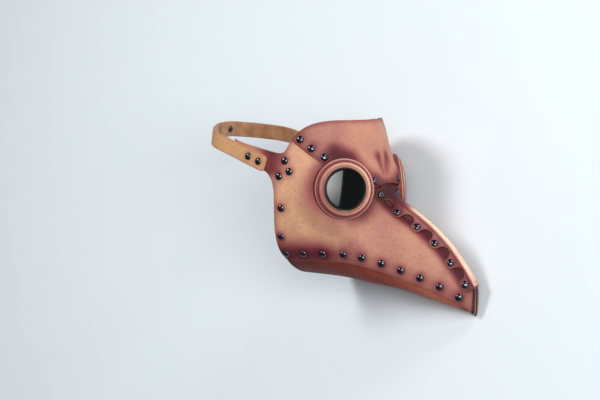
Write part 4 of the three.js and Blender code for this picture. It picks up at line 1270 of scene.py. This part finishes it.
# %% Lens tubes and lenses
RIM_PROFILE = [(25.3, -4), (25.3, 8.2), (25.2, 8.5), (24.9, 8.65), (23.8, 8.65), (23.5, 8.5),
               (23.4, 8.2), (23.35, 4.7), (21.6, 4.6), (21.6, -4)]
LENS_RADIUS = 23.2
LENS_CROWN = 7.8
LENS_EDGE = 6.9
LENS_BACK = 5.0
LENS_BEVEL = 0.25
ROUND_SEGMENTS = 96
lens_r = np.linspace(0, LENS_RADIUS - LENS_BEVEL, 24)
lens_z = LENS_CROWN - (LENS_CROWN - LENS_EDGE) * (lens_r / LENS_RADIUS) ** 2
lens_side = [(LENS_RADIUS, LENS_EDGE - LENS_BEVEL), (LENS_RADIUS, LENS_BACK), (0, LENS_BACK)]
lens_profile = np.concatenate([np.stack([lens_r, lens_z], axis=1), lens_side])
for side, over in SIDES:
    tube = turned(f"lens_tube_{side}", RIM_PROFILE, ring_stand, black_acetal, ROUND_SEGMENTS, over)
    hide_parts(f"lens_rim_{side}")
    lens = turned(f"lens_glass_{side}", lens_profile, ring_stand, smoked_lens, ROUND_SEGMENTS, over)
    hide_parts(f"lens_{side}")
print("each lens is domed by", round(LENS_CROWN - LENS_EDGE, 1), "mm")

# %% [markdown]
# ## Rivets
# The rivets are double capped: a domed cap outside, a flatter one inside and a post through the
# leather between them. They are set on the leather that was just made, pressed a little into it. One
# profile turned round the post makes all three parts of a rivet, and one function sets every rivet.

# %% Rivets
CAP_DOME = [(0, 2.6), (1.2, 2.54), (2.4, 2.28), (3.4, 1.8), (4.15, 1.15), (4.55, 0.5), (4.6, 0.2),
            (4.45, 0.02)]
INNER_CAP = [(4.1, 0.0), (4.2, -0.25), (3.9, -0.75), (2.8, -1.15), (1.4, -1.3), (0, -1.35)]
CAP_ROWS = 16
INNER_CAP_ROWS = 12
CAP_SEGMENTS = 28
POST_RADIUS = 1.5
PRESSED_IN = 0.35
ABOVE = 15


def rivet(name, foot_point, normal, top, inner, nodes, mirrored):
    """A rivet through the leather, its outer cap's foot at top and its inner cap's at inner."""
    dome = spline(CAP_DOME, CAP_ROWS) + [0, top]
    post = [(POST_RADIUS, top + 0.02), (POST_RADIUS, inner)]
    cap = spline(INNER_CAP, INNER_CAP_ROWS) + [0, inner]
    dome[0, 0] = cap[-1, 0] = 0
    stand = frame_on(foot_point, normal)
    thing = turned(name, [*dome, *post, *cap], stand, black_nickel, CAP_SEGMENTS, mirrored)
    if nodes:
        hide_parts(*nodes)


INSIDE = {"jaw_rivet": -TOUCHING, "arm_rivet": 0.0}
rivet_groups = {**RIVET_PLACES, "arm_rivet": arm_root}
cap_pieces = [right_panel, strip, brow]
for label, places in rivet_groups.items():
    tq = on_right(places)
    feet, _, _, normals = surface_at(crown_sheet, tq)
    normals = outward(crown_sheet, tq, normals)
    for k, (foot_point, normal) in enumerate(zip(feet, normals), start=1):
        top = ABOVE - top_of(cap_pieces, [foot_point + normal * ABOVE], normal)[0]
        number = f"_{k}" if len(places) > 1 else ""
        for side, over in SIDES:
            node = f"{label}{number}_{side}"
            kept = [node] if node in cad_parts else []
            rivet(f"{label}_cap{number}_{side}", foot_point, normal, top - PRESSED_IN,
                  INSIDE.get(label, 0.0), kept, over)
        print(label, k, "stands on leather", round(float(top), 2), "mm over the form")

# %% [markdown]
# ## Straps
# A strap is riveted on each arm and runs round the back of the head, one over the other, with a stud
# through both. A strap is flat leather too, so it is made as the other pieces are, on a sheet that
# follows its route instead of the form.

# %% The straps' route
STRAP_WIDTH = 19
STRAP_THICKNESS = 2.2
STRAP_ON_ARM_X = (-8, -20, -33, -46, -58)
STRAP_RIVET_X = (-18.7, -34.5)
STRAP_LINE_Z = 37.1
STRAP_SLOPE = -0.337
STRAP_BACK = [(-92, 74, 61), (-113, 50, 66), (-124, 20, 69), (-126, 0, 70)]
STRAP_LAP = 42
LAP_RISE_START = 22
LAP_RISE_LENGTH = 18
LAP_GAP = 0.1
STRAP_LEAN = 0.12
LOOK_ALONG = 3
HEAD_MIDDLE = np.array([-40.0, 0, 60])


def strap_z(x):
    """The height of the strap's middle line on the arm."""
    return STRAP_LINE_Z + (x - STRAP_RIVET_X[0]) * STRAP_SLOPE


arm_x = np.array(STRAP_ON_ARM_X, float)
arm_tq = on_right(located(np.stack([arm_x, strap_z(arm_x)], axis=1)))
arm_foot, _, _, arm_normal = surface_at(crown_sheet, arm_tq)
arm_normal = outward(crown_sheet, arm_tq, arm_normal)
on_arm = arm_foot + arm_normal * (TOUCHING + STRAP_THICKNESS / 2)
right_route = np.concatenate([on_arm, np.array(STRAP_BACK, float) * MIRROR])
route = spline(np.concatenate([right_route, (right_route * MIRROR)[-2::-1]]), 900)
route_run = np.concatenate([[0], np.cumsum(np.linalg.norm(np.diff(route, axis=0), axis=1))])
route_length = route_run[-1]
lap_start, lap_end = (route_length - STRAP_LAP) / 2, (route_length + STRAP_LAP) / 2
print("both straps together run", round(float(route_length)), "mm")


def strap_sheet(lift):
    """A strap's middle, (run, distance from its middle line), lifted outward by lift(run)."""
    def point(ab):
        run = ab[:, 0]
        at = np.stack([np.interp(run, route_run, route[:, k]) for k in range(3)], axis=1)
        ends = [np.stack([np.interp(run + d, route_run, route[:, k]) for k in range(3)], axis=1)
                for d in (-LOOK_ALONG, LOOK_ALONG)]
        ahead = unit(ends[1] - ends[0])
        out = unit(np.stack([ahead[:, 1], -ahead[:, 0], 0 * run], axis=1))
        facing = np.einsum("nc,nc->n", out, at - HEAD_MIDDLE)
        out = out * np.where(facing < 0, -1, 1)[:, None]
        out[:, 2] = STRAP_LEAN
        out = unit(out - ahead * np.einsum("nc,nc->n", out, ahead)[:, None])
        rise = unit(np.cross(ahead, out))
        rise = rise * np.where(rise[:, 2] < 0, -1, 1)[:, None]
        return at + out * lift(run)[:, None] + rise * ab[:, 1:]

    def same(ab):
        return np.asarray(ab, float)

    def middle(ab):
        return np.tile(HEAD_MIDDLE, (len(ab), 1))

    return Sheet(point, same, same, np.array([1.0, 1.0]), middle)


# %% [markdown]
# ### The two straps
# A strap is a long strip with its corners cut off. The right one climbs over the left one a little
# before the lap, by the strap's own thickness, and both have the stud's hole in the middle.

# %% The straps
STUD_HOLE_RADIUS = 2.3
STRAP_CORNERS = (2.4, 3)
STRAP_DIMPLE = 0.3


def over_lap(run):
    """How far the upper strap is lifted."""
    step_up = STRAP_THICKNESS + LAP_GAP
    return step_up * smooth((run - (lap_start - LAP_RISE_START)) / LAP_RISE_LENGTH)


def ring_of(centre, radius, count=24):
    """A closed row of flat points round a centre."""
    turn = np.linspace(0, 2 * math.pi, count, endpoint=False)
    return centre + radius * np.stack([np.cos(turn), np.sin(turn)], axis=1)


strap_rivet_tu = located([(x, strap_z(x)) for x in STRAP_RIVET_X])
strap_rivet_feet = right_point(*strap_rivet_tu.T)
rivet_runs = np.array([route_run[np.argmin(np.linalg.norm(route - foot_point, axis=1))]
                       for foot_point in strap_rivet_feet])
straps = {}
for side, (start, end), lift in (("right", (0, lap_end), over_lap),
                                 ("left", (lap_start, route_length), lambda run: run * 0)):
    sheet = strap_sheet(lift)
    half = STRAP_WIDTH / 2
    long, short = STRAP_CORNERS
    corners = np.array([(start, -half + short), (start + long, -half), (end - long, -half),
                        (end, -half + short), (end, half - short), (end - long, half),
                        (start + long, half), (start, half - short)])
    hole = ring_of(np.array([route_length / 2, 0]), STUD_HOLE_RADIUS)
    own_rivets = rivet_runs if side == "right" else route_length - rivet_runs
    strap_marks = np.stack([own_rivets, 0 * own_rivets], axis=1)
    strap_net = net(sheet, [cut_line(sheet, corners, 1.6), hole], strap_marks)
    strap_relief = dimple(strap_net.point, sheet.point(strap_marks), STRAP_DIMPLE)
    strap_stain = 0.35 * near(strap_net.point, sheet.point(strap_marks), 7)
    strap_stain += 0.3 * faded(strap_net.edge, 1.6)
    strap = leather(f"strap_leather_{side}", strap_net, -STRAP_THICKNESS / 2, strap_relief,
                    (strap_cowhide, split_fibre), stain=strap_stain, rose=0 * strap_stain)
    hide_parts(f"strap_{side}")
    straps[side] = strap

strap_tq = on_right(strap_rivet_tu)
strap_rivet_feet, _, _, strap_normals = surface_at(crown_sheet, strap_tq)
strap_normals = outward(crown_sheet, strap_tq, strap_normals)
for k, (foot_point, normal) in enumerate(zip(strap_rivet_feet, strap_normals), start=1):
    top = ABOVE - top_of([straps["right"]], [foot_point + normal * ABOVE], normal)[0]
    for side, over in SIDES:
        rivet(f"strap_rivet_{k}_{side}", foot_point, normal, top - PRESSED_IN, 0.0, [], over)

# %% [markdown]
# ### The stud
# The stud is a ball on a narrow neck with a flange at its foot, screwed together through both straps.
# It is turned, as the caps are, and stands square to the back of the straps.

# %% The stud
STUD_PROFILE = [(0, 7.4), (1.4, 7.15), (2.6, 6.3), (3.1, 5.1), (3.0, 4.1), (2.4, 3.3), (1.95, 2.6),
                (1.9, 1.6), (2.2, 1.2), (4.2, 1.1), (4.3, 0.9), (4.2, 0.6), (2.0, 0.5)]
STUD_BACK = [(2.0, -0.3), (4.0, -0.3), (4.1, -0.6), (3.6, -1.0), (0, -1.2)]
back_middle = np.array([np.interp(route_length / 2, route_run, route[:, k]) for k in range(3)])
stud_stand = frame_on(back_middle, unit(np.array([-1, 0, STRAP_LEAN])))
stud_top = 1.5 * STRAP_THICKNESS - 0.5
stud_profile = [*(np.array(STUD_PROFILE) + [0, stud_top]),
                *(np.array(STUD_BACK) + [0, -STRAP_THICKNESS / 2])]
stud = turned("strap_stud_ball", stud_profile, stud_stand, black_nickel, 40)
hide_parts("strap_stud")
print("the stud stands at", laid(back_middle).round(3), "m")

# %% [markdown]
# ## Stitches
# Thread shows as a row of short rounded stitches that dive into holes. Each stitch is a small capsule
# with its two ends sunk in the leather, and each hole is a sunk capsule of dark painted shade between
# two stitches. Capsules in one mesh cost little, and a row follows any line. The real pitch of about
# two millimetres is too fine to show in the picture, so the stitches are drawn nearly three
# millimetres long, in thicker thread.

# %% Stitches
def capsule(start, end, out, radius, sides=6, rows=5):
    """Points and faces of a thread from start to end that arches outward between its ends."""
    ahead = unit(end - start)
    across = unit(np.cross(out, ahead))
    share = np.linspace(0, 1, rows)
    swell = np.sin(math.pi * np.clip(share * 0.9 + 0.05, 0, 1)) ** 0.5
    turn = np.linspace(0, 2 * math.pi, sides, endpoint=False)
    middle = start + (end - start) * share[:, None] + out * (radius * (swell - 0.75))[:, None]
    rim = np.cos(turn)[:, None] * across + np.sin(turn)[:, None] * out
    points = (middle[:, None] + rim[None] * (radius * swell)[:, None, None]).reshape(-1, 3)
    index = np.arange(rows * sides).reshape(rows, sides)
    faces = []
    for k in range(rows - 1):
        a, b = index[k], index[k + 1]
        faces += np.stack([a, np.roll(a, -1), np.roll(b, -1), b], axis=1).tolist()
    faces += [index[0][::-1].tolist(), index[-1].tolist()]
    return points, faces


def stitched(name, stitches, finishes, mirrored=False):
    """One mesh of many capsules: each is (start, end, out, radius, finish number)."""
    points, faces, slots, start_at = [], [], [], 0
    for start, end, out, radius, slot in stitches:
        own, own_faces = capsule(start, end, out, radius)
        points.append(own)
        faces += [[corner + start_at for corner in face] for face in own_faces]
        slots += [slot] * len(own_faces)
        start_at += len(own)
    points = np.concatenate(points)
    if mirrored:
        points = points * MIRROR
        faces = [face[::-1] for face in faces]
    thing = new_object(name, points, faces)
    for finish in finishes:
        thing.data.materials.append(finish)
    thing.data.polygons.foreach_set("material_index", slots)
    return thing


# %% [markdown]
# ### The rings' stitches
# The outer row lies in the ring's outer groove in rosy thread, the inner one close to the tube in pale
# thread. Each stitch takes up six tenths of its pitch, and dark painted shade fills the hole in the rest.

# %% Stitches of the rings
OUTER_STITCHES = 72
INNER_STITCHES = 62
STITCH_FILL = 0.62
HOLE_FILL = 0.4
HOLE_SUNK = 0.15
HOLE_WIDER = 1.35
OUTER_ROW = (33.0, 3.85)
INNER_ROW = (27.45, 6.98)


def ring_row(radius, height, count, thread, slot):
    """Stitches round the ring with a hole between each two."""
    pitch = 2 * math.pi / count
    row = []
    for k in range(count):
        mid = k * pitch
        ends = on_ring(radius, [mid - pitch * STITCH_FILL / 2, mid + pitch * STITCH_FILL / 2], height)
        row.append((*ends, ring_normal, thread, slot))
        # A sunk capsule of dark painted shade stands for the hole.
        hole = [mid + pitch * (1 - HOLE_FILL) / 2, mid + pitch * (1 + HOLE_FILL) / 2]
        gap = on_ring(radius, hole, height - HOLE_SUNK)
        row.append((*gap, ring_normal, thread * HOLE_WIDER, 2))
    return row


ring_stitches = (ring_row(*OUTER_ROW, OUTER_STITCHES, 0.68, 0)
                 + ring_row(*INNER_ROW, INNER_STITCHES, 0.6, 1))
for side, over in SIDES:
    row = stitched(f"ring_stitches_{side}", ring_stitches, (rosy_thread, pale_thread, painted_hole_shade), over)
print("each ring has", OUTER_STITCHES + INNER_STITCHES, "stitches")

# %% [markdown]
# ## Lacing at the tip and stitches in the hollows
# The beak's front edges are sewn with thick black waxed thread, a row of short laces side by side. In
# the hollows of the strip a few stitches of the ridge's seam show, every other one in dark painted
# shade for a hole.

# %% Lacing and seam stitches
LACES = 21
LACE_LENGTH = 4.4
LACE_SETBACK = 0.4
LACE_RADIUS = 0.92
LACE_SWAY = 0.02
LACE_LIFT = 0.3
LACE_SEARCH = 0.5
HATCH_RUNS = (28.2, 58.8)
HATCH_COUNT = 5
HATCH_STEP = 1.7
HATCH_RADIUS = 0.3


def on_top(tu, height):
    """Points over the right side's form, and its outward directions."""
    places = on_right(tu)
    feet, _, _, normals = surface_at(crown_sheet, places)
    normals = outward(crown_sheet, places, normals)
    return feet + normals * height, normals


front_u = np.linspace(0.2, 0.9, LACES)
laces = []
for k, u in enumerate(front_u):
    t = np.linspace(TIP_T, TIP_T - LACE_SEARCH, 60)
    at_u = np.full(len(t), u + LACE_SWAY * math.sin(k * 2.1))
    line, ways = on_top(np.stack([t, at_u], axis=1), LEATHER + LACE_LIFT)
    away = np.concatenate([[0], np.cumsum(np.linalg.norm(np.diff(line, axis=0), axis=1))])
    ends = [np.array([np.interp(reach, away, line[:, c]) for c in range(3)])
            for reach in (LACE_SETBACK, LACE_SETBACK + LACE_LENGTH)]
    laces.append((*ends, ways[0], LACE_RADIUS, 0))
hatches = []
for middle in HATCH_RUNS:
    for k in range(HATCH_COUNT):
        run = middle + (k - HATCH_COUNT // 2) * HATCH_STEP
        outer = rivet_offset(run) - 2.6
        tu = across_ridge([run + 0.5, run - 0.5], [outer - 2.4, outer + 1.6])
        ends, ways = on_top(tu, LEATHER + 0.12)
        # Every other hatch stitch is dark painted shade for a hole.
        hatches.append((*ends, ways[0], HATCH_RADIUS, 1 + k % 2))
for side, over in SIDES:
    sewn = stitched(f"lacing_{side}", laces + hatches, (black_thread, rosy_thread, painted_hole_shade), over)
print("laces on each edge of the tip:", len(laces))

# %% [markdown]
# ## Closing the tip
# The same thread goes over the front of both edges and shuts the tip, and over the ridge's last
# millimetres, where the strip doesn't reach. Each of these laces is a capsule straight from side to
# side, so the row also keeps most of the light out of the beak.

# %% Laces that close the tip
CLOSING_LACES = 36
RIDGE_LACES = 5
LACE_DEPTH = LEATHER * 0.8

closing = []
for at_u in np.linspace(0.0, 0.98, CLOSING_LACES):
    tip_line = right_point([TIP_T - 0.1, TIP_T], at_u)
    forward = unit((tip_line[1] - tip_line[0]) * [1, 0, 1])
    right_end = tip_line[1] * [1, 0, 1] + forward * LACE_LIFT
    right_end = right_end - [0, abs(tip_line[1, 1]) + LACE_DEPTH, 0]
    closing.append((right_end, right_end * MIRROR, forward, LACE_RADIUS, 0))
for at_t in np.linspace(ridge_station(STRIP_END), TIP_T, RIDGE_LACES):
    ends, ways = on_top([(at_t, 0.08)], LACE_DEPTH)
    closing.append((ends[0], ends[0] * MIRROR, unit(ways[0] * [1, 0, 1]), LACE_RADIUS, 0))
tip_lacing = stitched("tip_lacing", closing, (black_thread,))
print("laces that close the tip:", len(closing))

# %% [markdown]
# ## Floor and light
# A plain pale floor and soft lamps, as in a studio. The floor is painted board, matt and nearly white,
# so that the mask stands out from it and its shadow shows that it lies there.

# %% Floor
FLOOR_CLOUD_SIZE = 60
FLOOR_REACH = 6.0

floor_finish, tree, shader = material("pale_floor")
place = add(tree, "ShaderNodeTexCoord").outputs["Object"]
dust = add(tree, "ShaderNodeTexNoise", {"Vector": place, "Scale": pattern_scale(FLOOR_CLOUD_SIZE),
                                             "Detail": 3})
tone = add(tree, "ShaderNodeMix", {0: dust.outputs["Fac"], 6: linear("#ebf4f8"), 7: linear("#eef6fa")},
           data_type="RGBA")
tree.links.new(tone.outputs[2], shader.inputs["Base Color"])
shader.inputs["Roughness"].default_value = 0.9
shader.inputs["Specular IOR Level"].default_value = 0.1
floor_mesh = bpy.data.meshes.new("floor")
floor_mesh.from_pydata([(x * FLOOR_REACH, y * FLOOR_REACH, 0) for x, y in
                        ((-1, -1), (1, -1), (1, 1), (-1, 1))], [], [(0, 1, 2, 3)])
floor = bpy.data.objects.new("floor", floor_mesh)
floor.data.materials.append(floor_finish)
bpy.context.collection.objects.link(floor)
print("floor reaches", FLOOR_REACH, "m to each side")

# %% [markdown]
# ### Lamps
# Leather is matt, so one broad soft box lights it evenly from the viewer's left. It stands where the
# lens mirrors it to the camera, which makes the pale half-moon that tells the eye that the lens is
# glossy. Its cloth is brightest off its middle and fades downwards, and so does the half-moon. A small
# lamp gives the cheek its form from behind, and another from ahead brightens the ridge and the brow.
# Each lamp is placed by its direction from the worn mask's right eye.

# %% Lights
EYE_POINT = laid(EYE_CENTRE)
CLOTH_EDGE = 0.75
CLOTH_MIDDLE = 2.3
CLOTH_FALL_END = 0.25
CLOTH_FALL = 0.25
CLOTH_LOW = (0.18, 0.6)
CLOTH_LOW_SHARE = (0.2, 1.2)


def uneven_cloth(light, bright_at):
    """Makes a soft box brightest at a share of its width, as where its bulb is behind the cloth."""
    light.use_nodes = True
    tree = light.node_tree
    cloth = add(tree, "ShaderNodeSeparateXYZ",
                {0: add(tree, "ShaderNodeNewGeometry").outputs["Parametric"]})
    across, up = cloth.outputs["X"], cloth.outputs["Y"]
    rise = add(tree, "ShaderNodeMapRange", {0: across, 1: 1.0, 2: bright_at, 3: CLOTH_EDGE,
                                            4: CLOTH_MIDDLE})
    fall = add(tree, "ShaderNodeMapRange", {0: across, 1: bright_at, 2: CLOTH_FALL_END, 3: 1.0,
                                            4: CLOTH_FALL})
    lower = add(tree, "ShaderNodeMapRange", {0: up, 1: CLOTH_LOW[0], 2: CLOTH_LOW[1],
                                             3: CLOTH_LOW_SHARE[0], 4: CLOTH_LOW_SHARE[1]})
    level = add(tree, "ShaderNodeMath", {0: rise.outputs[0], 1: fall.outputs[0]}, operation="MULTIPLY")
    glow = add(tree, "ShaderNodeMath", {0: level.outputs[0], 1: lower.outputs[0]},
               operation="MULTIPLY")
    tree.links.new(glow.outputs[0], tree.nodes["Emission"].inputs["Strength"])


def soft_box(name, azimuth, elevation, distance, width, height, power, roll=0, bright_at=None):
    """An oblong soft lamp, by the direction that it is seen in from the right eye of the worn mask."""
    light = bpy.data.lights.new(name, "AREA")
    light.shape = "RECTANGLE"
    light.size, light.size_y, light.energy = width, height, power
    if bright_at is not None:
        uneven_cloth(light, bright_at)
    thing = bpy.data.objects.new(name, light)
    way = TURN @ direction(azimuth, elevation)
    up_way = TURN @ np.array([0.0, 0, 1])
    side_way = unit(np.cross(up_way, way))
    ways = np.stack([side_way, np.cross(way, side_way), way], axis=1)
    ways = ways @ np.array(Matrix.Rotation(math.radians(roll), 3, "Z"))
    thing.matrix_world = Matrix.Translation(EYE_POINT + way * distance) @ Matrix(ways).to_4x4()
    bpy.context.collection.objects.link(thing)
    above = math.degrees(math.asin(way[2]))
    print(name, "stands", round(above), "degrees over the floor, lowest corner at",
          round(float(thing.location.z - abs(ways[2, 0]) * width / 2 - abs(ways[2, 1]) * height / 2), 2))
    return thing


soft_box("lens_box", 51.5, 5, 3.0, 2.6, 1.6, 68, roll=-7, bright_at=0.75)
soft_box("key_box", 125, 32, 1.8, 0.6, 0.6, 16)
soft_box("ridge_box", 10, 50, 1.6, 0.5, 0.4, 7.5)
world = bpy.data.worlds.new("studio")
bpy.context.scene.world = world
world.use_nodes = True
world.node_tree.nodes["Background"].inputs["Color"].default_value = linear("#f4f8ff")
world.node_tree.nodes["Background"].inputs["Strength"].default_value = 0.15
bpy.context.scene.view_settings.view_transform = "Standard"
